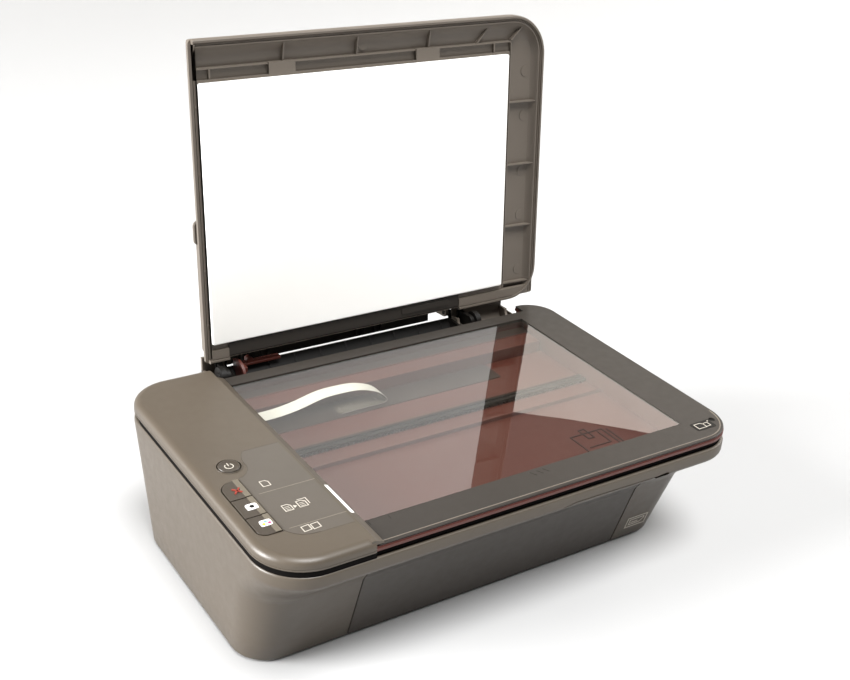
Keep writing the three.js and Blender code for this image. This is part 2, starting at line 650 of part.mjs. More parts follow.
const MOTOR_AXIS = polar(FEED, PINION.direction, ((FEED_TEETH + PINION.teeth) * MODULE) / 2);
const IDLER_AXIS = polar(FEED, PICKUP_IDLER.direction, ((FEED_TEETH + PICKUP_IDLER.teeth) * MODULE) / 2);
const PICKUP = polar(IDLER_AXIS, PICKUP_IDLER.direction, ((PICKUP_IDLER.teeth + PICKUP_TEETH) * MODULE) / 2);
const TRANSFER_AXIS = polar(FEED, Math.PI, FEED_TEETH * MODULE);

function gear(name, axis, teeth, bore, phase) {
  const solid = prismX(gearShape(teeth, bore, phase), ...GEAR_X).translate(0, axis.y, axis.z);
  node(name, solid, whitePlastic);
}

function gearTrain() {
  gear('feed_gear', FEED, FEED_TEETH, 3.3, 0);
  const pinionPhase = meshPhase(0, FEED_TEETH, PINION.direction, PINION.teeth);
  gear('motor_pinion', MOTOR_AXIS, PINION.teeth, 1.8, pinionPhase);
  const transferPhase = meshPhase(0, FEED_TEETH, Math.PI, FEED_TEETH);
  gear('transfer_gear', TRANSFER_AXIS, FEED_TEETH, 3.3, transferPhase);
  gear('output_gear', OUTPUT, FEED_TEETH, 3.3, meshPhase(transferPhase, FEED_TEETH, Math.PI, FEED_TEETH));
  const idlerPhase = meshPhase(0, FEED_TEETH, PICKUP_IDLER.direction, PICKUP_IDLER.teeth);
  gear('pickup_idler', IDLER_AXIS, PICKUP_IDLER.teeth, 3.3, idlerPhase);
  const pickupPhase = meshPhase(idlerPhase, PICKUP_IDLER.teeth, PICKUP_IDLER.direction, PICKUP_TEETH);
  gear('pickup_gear', PICKUP, PICKUP_TEETH, 4.3, pickupPhase);
}

function shaft(axis, r, x0, x1, sleeves) {
  const thick = sleeves.map(([a, b, radius]) => rodX(a, b, axis.y, axis.z, radius, 20));
  return join(rodX(x0, x1, axis.y, axis.z, r), ...thick);
}

function rollers() {
  node('feed_roller', shaft(FEED, 3, -164, 182, [[-108, 120, FEED.r]]), rubber);
  const grips = [-90, -40, 10, 60, 100].map((x) => [x, x + 14, OUTPUT.r]);
  node('output_roller', shaft(OUTPUT, 3, -164, 182, grips), rubber);
  node('pickup_roller', shaft(PICKUP, 4, -164, 182, [[-14, 18, 14]]), rubber);
  const pinch = { y: FEED.y, z: FEED.z + FEED.r + 0.4 + 4.5 };
  const sleeves = [-95, -25, 45].map((x) => [x, x + 35, 4.5]);
  node('pinch_rollers', shaft(pinch, 1.5, -106, 118, sleeves), greyPlastic);
  const stars = { y: OUTPUT.y, z: OUTPUT.z + OUTPUT.r + 0.4 + 4 };
  node('star_wheels', shaft(stars, 1, -92, 116, grips.map(([a]) => [a + 6, a + 7.5, 4])), steel);
}

function mechanism() {
  const back = cut(box(-150, 181, 56, 57.6, 5.3, 94), box(-115, 125, 50, 60, 5, 52));
  const sidePlate = polygon([[-56, 5.3], [100, 5.3], [100, 94], [20, 94], [-56, 40]]);
  const sides = [prismX(sidePlate, -150, -148.4), prismX(sidePlate, 179.4, 181)];
  const bearings = [[FEED, 3.3], [OUTPUT, 3.3], [PICKUP, 4.3]];
  const holes = bearings.map(([axis, r]) => rodX(-166, 183, axis.y, axis.z, r));
  const beltHole = rodY(50, 60, BELT.x0, BELT.z, 3);
  const studs = [IDLER_AXIS, TRANSFER_AXIS].map((axis) => rodX(-163, -149, axis.y, axis.z, 3, 16));
  const pulleyPin = rodY(43, 57, BELT.x1, BELT.z, 2, 12);
  const frameSolid = cut(join(back, ...sides), ...holes, beltHole);
  node('mechanism_frame', join(frameSolid, ...studs, pulleyPin), steel);
  node('carriage_rod', rodX(-148.1, 179.1, ROD.y, ROD.z, ROD.r), steel);
  node('encoder_strip', box(-148.1, 179.1, 52.4, 52.9, 60, 68), greyPlastic);
  node('platen', platen(), blackPlastic);
  const station = cut(box(124, 176, -38, 12, 5.3, 30), box(128, 172, -34, 8, 12, 40));
  const caps = [132, 152].map((x) => box(x, x + 14, -26, 0, 11, 31.4));
  node('service_station', join(station, ...caps), greyPlastic);

  const carriageShaft = rodY(50.3, 60, BELT.x0, BELT.z, 2, 12);
  node('carriage_motor', join(rodY(58, 74, BELT.x0, BELT.z, 14, 20), carriageShaft), steel);
  const { y, z } = MOTOR_AXIS;
  node('feed_motor', join(rodX(-196, -164.4, y, z, 14, 20), rodX(-165, -156.6, y, z, 1.5, 12)), steel);
  node('drive_belt', belt(), rubber);
  node('motor_pulley', pulley(BELT.x0), whitePlastic);
  node('idler_pulley', cut(pulley(BELT.x1), rodY(40, 60, BELT.x1, BELT.z, 2.3, 12)), whitePlastic);
  node('main_board', box(-201.5, -199.9, -20, 80, 20, 92), circuitBoard);
  const usbMouth = box(-189, -179, 110, 125, 36.5, 43.5);
  node('usb_socket', cut(box(-192, -176, 103, 119.4, 34, 46), usbMouth), steel);
  const powerMouth = box(144, 162, 130, 150, 27, 39);
  node('power_inlet', cut(box(140, 166, 122, 145.4, 24, 42), powerMouth), blackPlastic);
}

function platen() {
  const plate = box(-112, 121, -36, 12, 22, 27.5);
  const places = Array.from({ length: 12 }, (_, i) => -108 + i * 20);
  const ribs = places.map((x) => box(x, x + 1.6, -34, 10, 27, PAPER_Z - 0.5));
  const legs = [-100, 100].map((x) => box(x, x + 8, -30, 6, 5.3, 23));
  return join(plate, ...ribs, ...legs);
}

function belt() {
  const { y: [y0, y1], r } = BELT;
  return cut(beltLoop(r + 1.6, y0, y1), beltLoop(r + 0.4, y0 - 1, y1 + 1));
}

function beltLoop(radius, y0, y1) {
  const { z, x0, x1 } = BELT;
  const ends = [x0, x1].map((x) => rodY(y0, y1, x, z, radius, 20));
  return join(box(x0, x1, y0, y1, z - radius, z + radius), ...ends);
}

function pulley(x) {
  return rodY(...BELT.y, x, BELT.z, BELT.r, 20);
}

// ---- Carriage and cartridges --------------------------------------------------------------
function carriage() {
  const { x0, x1, y0, y1, z0, z1 } = CARRIAGE;
  const middle = (x0 + x1) / 2;
  const floor = box(x0, x1, y0, y1 + 4, z0, z0 + 3);
  const walls = [x0, middle - 1.2, x1 - 2.4].map((x) => box(x, x + 2.4, y0, y1 + 1, z0, z1));
  const backWall = box(x0, x1, y1, y1 + 3, z0, z1);
  const saddle = box(x0, x1, y1 + 2, 40, 52, 72);
  const clamp = box(middle - 8, middle + 8, 38, 43.6, 70, 76);
  const bore = rodX(x0 - 1, x1 + 1, ROD.y, ROD.z, ROD.r + GAP);
  const windows = [x0 + 8, middle + 7].map((x) => box(x, x + 25, -32, -2, z0 - 1, z0 + 4));
  node('carriage', cut(join(floor, ...walls, backWall, saddle, clamp), bore, ...windows), greyPlastic);

  for (const [name, x] of [['black_cartridge', x0 + 3], ['colour_cartridge', middle + 1.8]]) {
    const width = (x1 - x0) / 2 - 5;
    const tank = box(x, x + width, y0 + 6, y1 - 0.4, z0 + 3.4, 84);
    const nose = box(x + 6, x + 29, -30, -4, 32, z0 + 4);
    node(name, join(tank, nose), blackPlastic);
  }
}

lowerBody();
scanner();
lid();
hingeBrackets();
paperInput();
frontTray();
gearTrain();
rollers();
mechanism();
carriage();

export default printer;
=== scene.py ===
"""Looks of an all-in-one inkjet printer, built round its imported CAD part.

Shapes are drawn in the CAD source's own millimetres (X right, front towards -Y, table at Z = 0);
ROW takes them to the row frame's metres.
"""
import math

import bmesh
import bpy
from mathutils import Matrix, Vector


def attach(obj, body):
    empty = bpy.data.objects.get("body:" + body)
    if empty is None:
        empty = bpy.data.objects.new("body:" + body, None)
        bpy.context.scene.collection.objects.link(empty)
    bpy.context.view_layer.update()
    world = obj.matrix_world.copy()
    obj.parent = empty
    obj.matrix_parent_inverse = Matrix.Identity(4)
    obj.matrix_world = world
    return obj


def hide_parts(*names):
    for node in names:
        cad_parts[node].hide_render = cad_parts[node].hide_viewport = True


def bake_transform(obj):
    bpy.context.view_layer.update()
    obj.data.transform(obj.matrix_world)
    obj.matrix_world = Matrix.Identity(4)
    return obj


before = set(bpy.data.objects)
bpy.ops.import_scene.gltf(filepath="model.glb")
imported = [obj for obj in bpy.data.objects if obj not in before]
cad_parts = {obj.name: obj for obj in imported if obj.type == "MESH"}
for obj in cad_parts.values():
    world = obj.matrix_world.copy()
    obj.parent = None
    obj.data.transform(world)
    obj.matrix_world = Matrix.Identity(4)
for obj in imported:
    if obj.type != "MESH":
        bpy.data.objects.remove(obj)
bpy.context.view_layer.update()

# ---- Dimensions, in the CAD source's millimetres ----
CENTRE_Y = 22.49  # the row frame's origin, in the CAD source's Y
ROW = Matrix.Scale(0.001, 4) @ Matrix.Translation((0, -CENTRE_Y, 0))
WALL = 2.5
HALF_W = 213.5
FRONT = -153
REAR_LEFT = 130
REAR = 150.4
INPUT_LEFT, INPUT_RIGHT = -138, 187
BODY_BOTTOM, BODY_TOP = 2, 112.4
KNEE_Z = 72
FLARE = (66, 79, 98, 102.5)  # heights where the flare starts, runs straight, bends back, ends
FLARE_TOP = 106
PANEL_TOP = 125.2
PANEL_EDGE = -136.5
PANEL_REAR = 128
DECK_TOP = 121.2
DECK_REAR = 112
CORNER_REAR = 126.5
CORNER_X = INPUT_RIGHT - 2.5
GLASS = dict(x0=-129.6, x1=172.5, y0=-122.5, y1=98.7, z0=118.5, z1=120.4)
PLUG = (200.5, -129)  # round plug in the deck's front right corner
TUB_FLOOR = 100
RAIL_Y = 6
BAR_X = -166
RIBBON_Y = 54
LID_AXIS = (125.6, 115.3)  # axes are (y, z)
LID_OPEN = 95.3
LID = dict(x0=-134.5, x1=212.5, y0=-156, y1=115)
LID_BOTTOM, LID_TOP = 121.6, 146
TAIL_OUTER, TAIL_INNER, TAIL_TOP = 21.8, 19.3, 137
FLAP_AXIS = (150, 117)
TRAY_X = (-125.4, 133.8)
TRAY_LIP = 96.4
TRAY_AXIS = (-93.9, 8)
FACE_FOOT, FACE_LEAN = -99, 22  # Y of the front face at the table, and how far it leans out
FACE_TILT = math.atan2(FACE_LEAN, KNEE_Z)


# ---- Shapes ----
def spread(start, end, steps):
    """Even values from start to end, both included."""
    return [start + (end - start) * i / steps for i in range(steps + 1)]


def rounded(corners, steps=8):
    """Closed outline through corners (u, v, radius); each corner is turned as an arc."""
    points = []
    for i, (u, v, radius) in enumerate(corners):
        here = Vector((u, v))
        back = (Vector(corners[i - 1][:2]) - here).normalized()
        ahead = (Vector(corners[(i + 1) % len(corners)][:2]) - here).normalized()
        half = back.angle(ahead) / 2
        radius = max(radius, 0.05)
        centre = here + (back + ahead).normalized() * (radius / math.sin(half))
        first = here + back * (radius / math.tan(half)) - centre
        last = here + ahead * (radius / math.tan(half)) - centre
        sweep = math.pi - 2 * half
        for step in range(steps + 1):
            t = step / steps
            arm = first * math.sin((1 - t) * sweep) + last * math.sin(t * sweep)
            points.append(tuple(centre + arm / math.sin(sweep)))
    return points


def rect(x0, x1, y0, y1, radius=0.0, steps=8):
    """Rounded rectangle; radius is one number or front-left, front-right, rear-right, rear-left."""
    r = radius if isinstance(radius, (tuple, list)) else (radius,) * 4
    if not any(r):
        return [(x0, y0), (x1, y0), (x1, y1), (x0, y1)]
    return rounded([(x0, y0, r[0]), (x1, y0, r[1]), (x1, y1, r[2]), (x0, y1, r[3])], steps)


def arc(u, v, radius, start, end, steps=24):
    """Points on an arc, in degrees."""
    turns = [math.radians(a) for a in spread(start, end, steps)]
    return [(u + radius * math.cos(a), v + radius * math.sin(a)) for a in turns]


def bent(a, b, c, steps=10):
    """Quadratic curve from a to c, drawn towards b."""
    return [tuple((1 - t) ** 2 * p + 2 * t * (1 - t) * q + t * t * r for p, q, r in zip(a, b, c))
            for t in spread(0, 1, steps)]


def smooth(points, steps):
    """Catmull-Rom curve through points in a plane."""
    made = []
    for i in range(len(points) - 1):
        a, b = points[max(0, i - 1)], points[i]
        c, d = points[i + 1], points[min(len(points) - 1, i + 2)]
        for step in range(steps):
            t = step / steps
            made.append(tuple(
                0.5 * (2 * q + (r - p) * t + (2 * p - 5 * q + 4 * r - s) * t * t
                       + (3 * q - p - 3 * r + s) * t**3)
                for p, q, r, s in zip(a, b, c, d)))
    return made + [points[-1]]


def solid(points, faces):
    """New object of these faces, turned to face outwards."""
    mesh = bpy.data.meshes.new("shape")
    mesh.from_pydata([tuple(p) for p in points], [], faces)
    cleaner = bmesh.new()
    cleaner.from_mesh(mesh)
    bmesh.ops.recalc_face_normals(cleaner, faces=cleaner.faces)
    cleaner.to_mesh(mesh)
    cleaner.free()
    obj = bpy.data.objects.new("shape", mesh)
    bpy.context.scene.collection.objects.link(obj)
    return obj


def loft(rings, loop=False):
    """Skin through rings of equally many points, closed at the ends or into a loop."""
    size, count = len(rings[0]), len(rings)
    faces = []
    for i in range(count if loop else count - 1):
        a, b = i * size, ((i + 1) % count) * size
        faces += [(a + j, a + (j + 1) % size, b + (j + 1) % size, b + j) for j in range(size)]
    if not loop:
        faces += [tuple(reversed(range(size))), tuple(range((count - 1) * size, count * size))]
    return solid([p for ring in rings for p in ring], faces)


def flat(outline, z):
    return [(u, v, z) for u, v in outline]


def prism(axis, outline, low, high):
    """An outline drawn out along an axis: (y, z) along x, (x, z) along y or (x, y) along z."""
    lift = {
        "x": lambda u, v, w: (w, u, v),
        "y": lambda u, v, w: (u, w, v),
        "z": lambda u, v, w: (u, v, w),
    }[axis]
    return loft([[lift(u, v, w) for u, v in outline] for w in (low, high)])


def block(x0, x1, y0, y1, z0, z1, radius=0.0):
    return prism("z", rect(x0, x1, y0, y1, radius, 5), z0, z1)


def circle(u, v, radius, sides=32):
    return arc(u, v, radius, 0, 360 * (1 - 1 / sides), sides - 1)


def rod(axis, u, v, radius, low, high, sides=32):
    return prism(axis, circle(u, v, radius, sides), low, high)


def frame_of(outer, inner, z0, z1):
    """Ring between two outlines of equally many points."""
    return loft([flat(outer, z0), flat(outer, z1), flat(inner, z1), flat(inner, z0)], loop=True)


def stroke(points, width, low, high, closed=False):
    """Thin raised line along points in X and Y."""
    path = [Vector(p) for p in points]
    rings = []
    for i, here in enumerate(path):
        before = (here - path[i - 1]).normalized() if closed or i else None
        after = None
        if closed or i < len(path) - 1:
            after = (path[(i + 1) % len(path)] - here).normalized()
        before, after = before or after, after or before
        along = (before + after).normalized()
        side = Vector((-along.y, along.x)) * (width / 2 / max(0.5, along.dot(after)))
        left, right = here + side, here - side
        rings.append([(*left, low), (*right, low), (*right, high), (*left, high)])
    return loft(rings, loop=closed)


def joined(*shapes):
    """Several solids as one object, without cutting them."""
    base, work = shapes[0], bmesh.new()
    for shape in shapes:
        work.from_mesh(shape.data)
    work.to_mesh(base.data)
    work.free()
    for shape in shapes[1:]:
        bpy.data.objects.remove(shape)
    return base


def combine(base, operation, tools):
    """Cuts or joins base with the tools, and cleans up the slivers that this leaves."""
    for tool in tools:
        step = base.modifiers.new("step", "BOOLEAN")
        step.operation, step.object, step.solver = operation, tool, "EXACT"
    graph = bpy.context.evaluated_depsgraph_get()
    made = bpy.data.meshes.new_from_object(base.evaluated_get(graph))
    base.modifiers.clear()
    clean = bmesh.new()
    clean.from_mesh(made)
    bmesh.ops.remove_doubles(clean, verts=clean.verts, dist=0.002)
    bmesh.ops.dissolve_degenerate(clean, edges=clean.edges, dist=0.002)
    clean.to_mesh(made)
    clean.free()
    made.validate()
    base.data = made
    for tool in tools:
        bpy.data.objects.remove(tool)
    return base


def carve(base, *tools):
    return combine(base, "DIFFERENCE", tools)


def fuse(base, *tools):
    return combine(base, "UNION", tools)


def keep(base, *tools):
    return combine(base, "INTERSECT", tools)


# ---- Materials ----
def linear(code):
    values = [int(code[i : i + 2], 16) / 255 for i in (0, 2, 4)]
    return [c / 12.92 if c <= 0.04045 else ((c + 0.055) / 1.055) ** 2.4 for c in values]


def noise(tree, where, scale, detail=3.0):
    made = tree.nodes.new("ShaderNodeTexNoise")
    made.inputs["Scale"].default_value = scale
    made.inputs["Detail"].default_value = detail
    tree.links.new(where, made.inputs["Vector"])
    return made.outputs["Fac"]


def plastic(name, code, rough, mottle=0.06, grain=0.12, metallic=0.0, scale=1400, shine=0.5):
    """Moulded surface: faint clouds in its colour and gloss over a fine grain."""
    material = bpy.data.materials.new(name)
    material.use_nodes = True
    tree = material.node_tree
    shader = tree.nodes["Principled BSDF"]
    shader.inputs["Metallic"].default_value = metallic
    shader.inputs["Specular IOR Level"].default_value = shine
    where = tree.nodes.new("ShaderNodeTexCoord").outputs["Object"]
    tint = tree.nodes.new("ShaderNodeMix")
    tint.data_type = "RGBA"
    colour = linear(code)
    tint.inputs[6].default_value = [c * (1 - mottle) for c in colour] + [1]
    tint.inputs[7].default_value = [min(1, c * (1 + mottle)) for c in colour] + [1]
    tree.links.new(noise(tree, where, 22), tint.inputs[0])
    tree.links.new(tint.outputs[2], shader.inputs["Base Color"])
    gloss = tree.nodes.new("ShaderNodeMapRange")
    gloss.inputs["To Min"].default_value = max(0.02, rough - 0.08)
    gloss.inputs["To Max"].default_value = rough + 0.08
    tree.links.new(noise(tree, where, 130), gloss.inputs["Value"])
    tree.links.new(gloss.outputs["Result"], shader.inputs["Roughness"])
    bump = tree.nodes.new("ShaderNodeBump")
    bump.inputs["Strength"].default_value = grain
    bump.inputs["Distance"].default_value = 0.0002
    tree.links.new(noise(tree, where, scale, 2), bump.inputs["Height"])
    tree.links.new(bump.outputs["Normal"], shader.inputs["Normal"])
    return material


def maths(tree, operation, first, second, clamp=False):
    """Math node on two inputs, each a number or another node's output."""
    made = tree.nodes.new("ShaderNodeMath")
    made.operation, made.use_clamp = operation, clamp
    for socket, value in zip(made.inputs, (first, second)):
        if isinstance(value, float):
            socket.default_value = value
        else:
            tree.links.new(value, socket)
    return made.outputs[0]


def clear(name, tint, ior):
    """Thin clear sheet: mirrors more at a slant, lets the rest straight through."""
    material = bpy.data.materials.new(name)
    material.use_nodes = True
    tree = material.node_tree
    tree.nodes.remove(tree.nodes["Principled BSDF"])
    through = tree.nodes.new("ShaderNodeBsdfTransparent")
    through.inputs["Color"].default_value = tint
    mirror = tree.nodes.new("ShaderNodeBsdfAnisotropic")
    where = tree.nodes.new("ShaderNodeTexCoord").outputs["Object"]
    polish = tree.nodes.new("ShaderNodeMapRange")
    polish.inputs["To Min"].default_value = 0.0
    polish.inputs["To Max"].default_value = 0.004
    tree.links.new(noise(tree, where, 60), polish.inputs["Value"])
    tree.links.new(polish.outputs["Result"], mirror.inputs["Roughness"])
    fresnel = tree.nodes.new("ShaderNodeFresnel")
    fresnel.inputs["IOR"].default_value = ior
    # Only the side that light enters by mirrors it, with about the share of a pane's two faces.
    both_faces = 2.2
    leaving = tree.nodes.new("ShaderNodeNewGeometry").outputs["Backfacing"]
    entering = maths(tree, "SUBTRACT", both_faces, maths(tree, "MULTIPLY", leaving, both_faces))
    share = maths(tree, "MULTIPLY", fresnel.outputs["Fac"], entering, clamp=True)
    mix = tree.nodes.new("ShaderNodeMixShader")
    tree.links.new(share, mix.inputs[0])
    tree.links.new(through.outputs["BSDF"], mix.inputs[1])
    tree.links.new(mirror.outputs["BSDF"], mix.inputs[2])
    tree.links.new(mix.outputs["Shader"], tree.nodes["Material Output"].inputs["Surface"])
    return material


# Each finish is a material and the record's material slot.
FINISH = {
    "shell": (plastic("shell_plastic", "473f35", 0.42), "shell"),
    # The tray is darker than the shell as painted shade: the front leans down under the flare and
    # lies in its shadow.
    "tray": (plastic("tray_plastic_painted_shade", "38322c", 0.42, shine=0.4), "bezel"),
    "deck": (plastic("deck_plastic", "2d2925", 0.4, shine=0.3), "bezel"),
    "lid": (plastic("lid_plastic", "5f574e", 0.5), "lid"),
    "brown": (plastic("red_brown_plastic", "4b231b", 0.45), "brown"),
    # Darker brown: painted shade for the tub's floor bands, and the colour of the tub's moulded
    # marks.
    "dark_brown": (plastic("brown_shade_and_mark_plastic", "251a15", 0.5), "brown"),
    "black": (plastic("black_plastic", "12100e", 0.45, shine=0.2), "black"),
    # Near-black groove finish: painted shade for the shadowed gap between the body and the scanner.
    "gap": (plastic("groove_painted_shade", "0a0807", 0.75, shine=0.05), "black"),
    "label": (plastic("label_film", "48423b", 0.35, grain=0.04), "shell"),
    "line": (plastic("label_line", "6f685d", 0.4), "grey"),
    "ink": (plastic("white_ink", "f4f2ee", 0.5, grain=0.03), "white"),
    "print": (plastic("panel_ink", "a7a196", 0.5, grain=0.03), "grey"),
    "red": (plastic("red_ink", "7c2a1e", 0.5), "white"),
    "cyan": (plastic("cyan_ink", "5c8d9b", 0.5), "white"),
    "magenta": (plastic("magenta_ink", "93265e", 0.5), "white"),
    "yellow": (plastic("yellow_ink", "b89c18", 0.5), "white"),
    "dark_button": (plastic("dark_button_plastic", "352e26", 0.4), "grey"),
    "light_button": (plastic("light_button_plastic", "5a5347", 0.4), "grey"),
    "grey": (plastic("grey_plastic", "8b8883", 0.5), "grey"),
    "white": (plastic("white_plastic", "dedcd6", 0.5), "white"),
    "ribbon": (plastic("ribbon_film", "c9c9c4", 0.3, grain=0.02), "white"),
    "film": (plastic("ribbon_back", "58544d", 0.25, grain=0.02), "white"),
    "foam": (plastic("pad_foam", "fbfaf6", 0.85, mottle=0.012, grain=0.2, scale=2600), "foam"),
    "rubber": (plastic("black_rubber", "1d1c1b", 0.8, grain=0.3, scale=900), "rubber"),
    "steel": (plastic("brushed_steel", "b4b5b6", 0.36, grain=0.05, metallic=1.0), "steel"),
    "board": (plastic("circuit_board", "2c5a3a", 0.45), "board"),
    "glass": (clear("scanner_glass", (0.96, 0.955, 0.93, 1), 1.52), "glass"),
}


def soften(shape, edge, crease=32):
    bevel = shape.modifiers.new("edge", "BEVEL")
    bevel.width = edge / 1000
    bevel.segments = 2
    bevel.limit_method = "ANGLE"
    bevel.angle_limit = math.radians(crease)
    bevel.harden_normals = True


def piece(name, shape, finish, body, replaces=None, edge=0.4, turn=Matrix(), crease=32):
    """Finishes a shape, or a list of them that it joins, and puts it on the body it rides on."""
    if isinstance(shape, list):
        shape = joined(*shape)
    material, slot = FINISH[finish]
    mesh = shape.data
    mesh.transform(ROW @ turn)
    mesh.materials.clear()
    mesh.materials.append(material)
    mesh.shade_smooth()
    mesh.set_sharp_from_angle(angle=math.radians(crease))
    shape.name = mesh.name = name
    if edge:
        soften(shape, edge, crease)
    if body:
        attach(shape, body)
    if replaces:
        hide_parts(replaces)
    return shape


def tint_faces(shape, finish, test):
    """Gives the faces whose centre passes the test another finish."""
    shape.data.materials.append(FINISH[finish][0])
    for face in shape.data.polygons:
        if test(face.center * 1000 + Vector((0, CENTRE_Y, 0))):
            face.material_index = len(shape.data.materials) - 1


def about_x(axis, degrees):
    here = Matrix.Translation((0, *axis))
    return here @ Matrix.Rotation(math.radians(degrees), 4, "X") @ here.inverted()


LID_TURN = about_x(LID_AXIS, -LID_OPEN)
FLAP_TURN = about_x(FLAP_AXIS, -LID_OPEN)


# ---- Lower body ----
def flare(z):
    """How much of the flare is reached at a height, from 0 to 1."""
    start, straight, bend, end = FLARE
    steepest = 1 / ((straight - start) / 2 + (bend - straight) + (end - bend) / 2)
    if z <= start:
        return 0
    if z < straight:
        return steepest * (z - start) ** 2 / (2 * (straight - start))
    if z <= bend:
        return steepest * (z - (start + straight) / 2)
    if z < end:
        return 1 - steepest * (end - z) ** 2 / (2 * (end - bend))
    return 1


def taper(z):
    """How much narrower than its rim the body is at a height, from 1 at the table to 0."""
    return 1 - min(z, FLARE_TOP) / FLARE_TOP


def face_y(z):
    """Y of the front face at a height."""
    flare_out = FACE_FOOT - FACE_LEAN - FRONT
    return FACE_FOOT - FACE_LEAN * min(z, KNEE_Z) / KNEE_Z - flare_out * flare(z)


def body_ring(z, inset):
    """Section of the body at a height, set in from its outside."""
    lean_right, flare_right = 6.5, 17
    foot_right = HALF_W - lean_right - flare_right
    x0 = -HALF_W + 5.6 * taper(z) + inset
    x1 = foot_right + lean_right * min(z, KNEE_Z) / KNEE_Z + flare_right * flare(z) - inset
    y0 = face_y(z) + inset
    main_rear = REAR_LEFT - 18 * taper(z) - inset
    input_rear = REAR - 6 * taper(z) - inset
    # The right end's rear corner takes the room that there is beside the input block.
    rear_radius = max(0.4, x1 - INPUT_RIGHT + inset - 2)
    corners = [
        (x0, y0, 28 + 12 * (1 - taper(z)) - inset),
        (x1, y0, 27 + 9 * flare(z) - inset),
        (x1, main_rear, rear_radius),
        (INPUT_RIGHT - inset, main_rear, 1.5),
        (INPUT_RIGHT - inset, input_rear, 4 - inset),
        (INPUT_LEFT + inset, input_rear, 4 - inset),
        (INPUT_LEFT + inset, main_rear, 1.5),
        (x0, main_rear, 38 - inset),
    ]
    return flat(rounded(corners, 10), z)


# Heights of the body's sections, closer together where the flare bends.
LEVELS = [20, 45, *spread(*FLARE[:2], 9), 88, *spread(*FLARE[2:], 5), FLARE_TOP]
SHELL_TOP = BODY_TOP - 1.6


def body_skin():
    """The outer body, open above and below, with the cuts for the tray and the two sockets."""
    outer = [(BODY_BOTTOM, 1.0), (BODY_BOTTOM + 0.4, 0.3), (BODY_BOTTOM + 1, 0)]
    outer += [(z, 0) for z in LEVELS]
    outer += [(108.8, 0), (109.8, 0.25), (110.4, 0.7), (SHELL_TOP, 1.5)]
    inner = [(z, WALL) for z in (SHELL_TOP, *reversed(LEVELS), BODY_BOTTOM)]
    skin = loft([body_ring(z, inset) for z, inset in outer + inner], loop=True)
    gap = 0.9
    mouth = block(TRAY_X[0] - gap, TRAY_X[1] + gap, -165, -60, -5, TRAY_LIP + 0.6)
    notch = rounded([(119, 101.2, 0.6), (123.5, 98.2, 1.6), (135, 98, 1.4), (136.6, 101, 1),
                     (132, 102.7, 1)], 5)
    lip_line = [(28, 100.6), (40, 102.6), (70, 102.5), (121, 101.5)]
    seam = [(x, z + 0.35) for x, z in lip_line] + [(x, z - 0.35) for x, z in reversed(lip_line)]
    usb = block(-192.4, -175.6, 100, 130, 33.6, 46.4)
    power = block(139.6, 166.4, 120, 155, 23.6, 42.4)
    return carve(skin, mouth, prism("y", notch, -160, -146), prism("y", seam, -156, -152.3),
                 usb, power)


def mouth_lining():
    """Side walls, rear edge and stepped roof of the mouth behind the tray."""
    x0, x1 = TRAY_X[0] - 3.1, TRAY_X[1] + 3.1
    low, high, near, far = 5.4, 97, -160, -103
    walls = [block(x, x + WALL, near, far, low, high) for x in (x0, x1 - WALL)]
    rear_edge = block(x0, x1, far - WALL, far, 72, high)
    roof = prism("x", [(near, 97.4), (-141.8, 97.4), (-141.8, 95.4), (far, 95.4), (far, 97.6),
                       (-139.8, 97.6), (-139.8, 99.8), (near, 99.8)], x0, x1)
    within = loft([body_ring(z, WALL - 0.1) for z in (low, *LEVELS, 108)])
    lining = keep(fuse(rear_edge, *walls, roof), within)
    return carve(lining, block(118, 138, -165, -145, 95, 102.4))


def lower_body():
    piece("body_shell", [body_skin(), mouth_lining()], "shell", "housing", "lower_shell", edge=0.35)
    for name, x, y in (("foot_front_left", -180, -62), ("foot_front_right", 158, -62),
                       ("foot_rear_left", -175, 82), ("foot_rear_right", 150, 112)):
        rings = [(0.0, 6.8), (0.35, 7.7), (0.9, 8.0), (2.2, 8.0)]
        foot = loft([flat(circle(x, y, radius), z) for z, radius in rings])
        piece(name + "_pad", foot, "rubber", "housing", name, edge=0)


# ---- Scanner ----
def deck_outline(inset, rear):
    """Outline that the scanner's rim pieces share, set in from the outer edge."""
    corners = [
        (-HALF_W + inset, FRONT + inset, 40 - inset),
        (HALF_W - inset, FRONT + inset, 36 - inset),
        (HALF_W - inset, CORNER_REAR - inset, 27.5 - inset),
        (CORNER_X, CORNER_REAR - inset, 0.5),
        (CORNER_X, rear, 0.5),
        (-HALF_W + inset, rear, 22),
    ]
    return rounded(corners, 12)


def rim_and_tub():
    # The groove band is a near-black ring: painted shade where the gap under the scanner's rim lies
    # in shadow.
    ring = frame_of(deck_outline(3.4, 108), deck_outline(12, 103), 111, 116.4)
    under_panel = keep(frame_of(deck_outline(0.8, 108), deck_outline(12, 103), 110.9, 115.6),
                       block(-230, -136, -170, 130, 105, 120))
    piece("groove_shade_band", [ring, under_panel], "gap", "housing", "groove_ring", edge=0.3)

    flange = prism("z", deck_outline(0.9, 111), 116.2, 118.4)
    raised = frame_of(deck_outline(1.6, 111), deck_outline(6, 108), 118.2, 119.4)
    basin = prism("z", rect(-194.5, 178.5, -126.5, 103.5, (18, 6, 6, 12)), 98, 116)
    hollow = prism("z", rect(-192, 176, -124, 101, (16, 4, 4, 10)), TUB_FLOOR, 120)
    tub = carve(fuse(flange, basin), hollow)
    piece("tub", [tub, raised], "brown", "housing", "scanner_tub", edge=0.5)


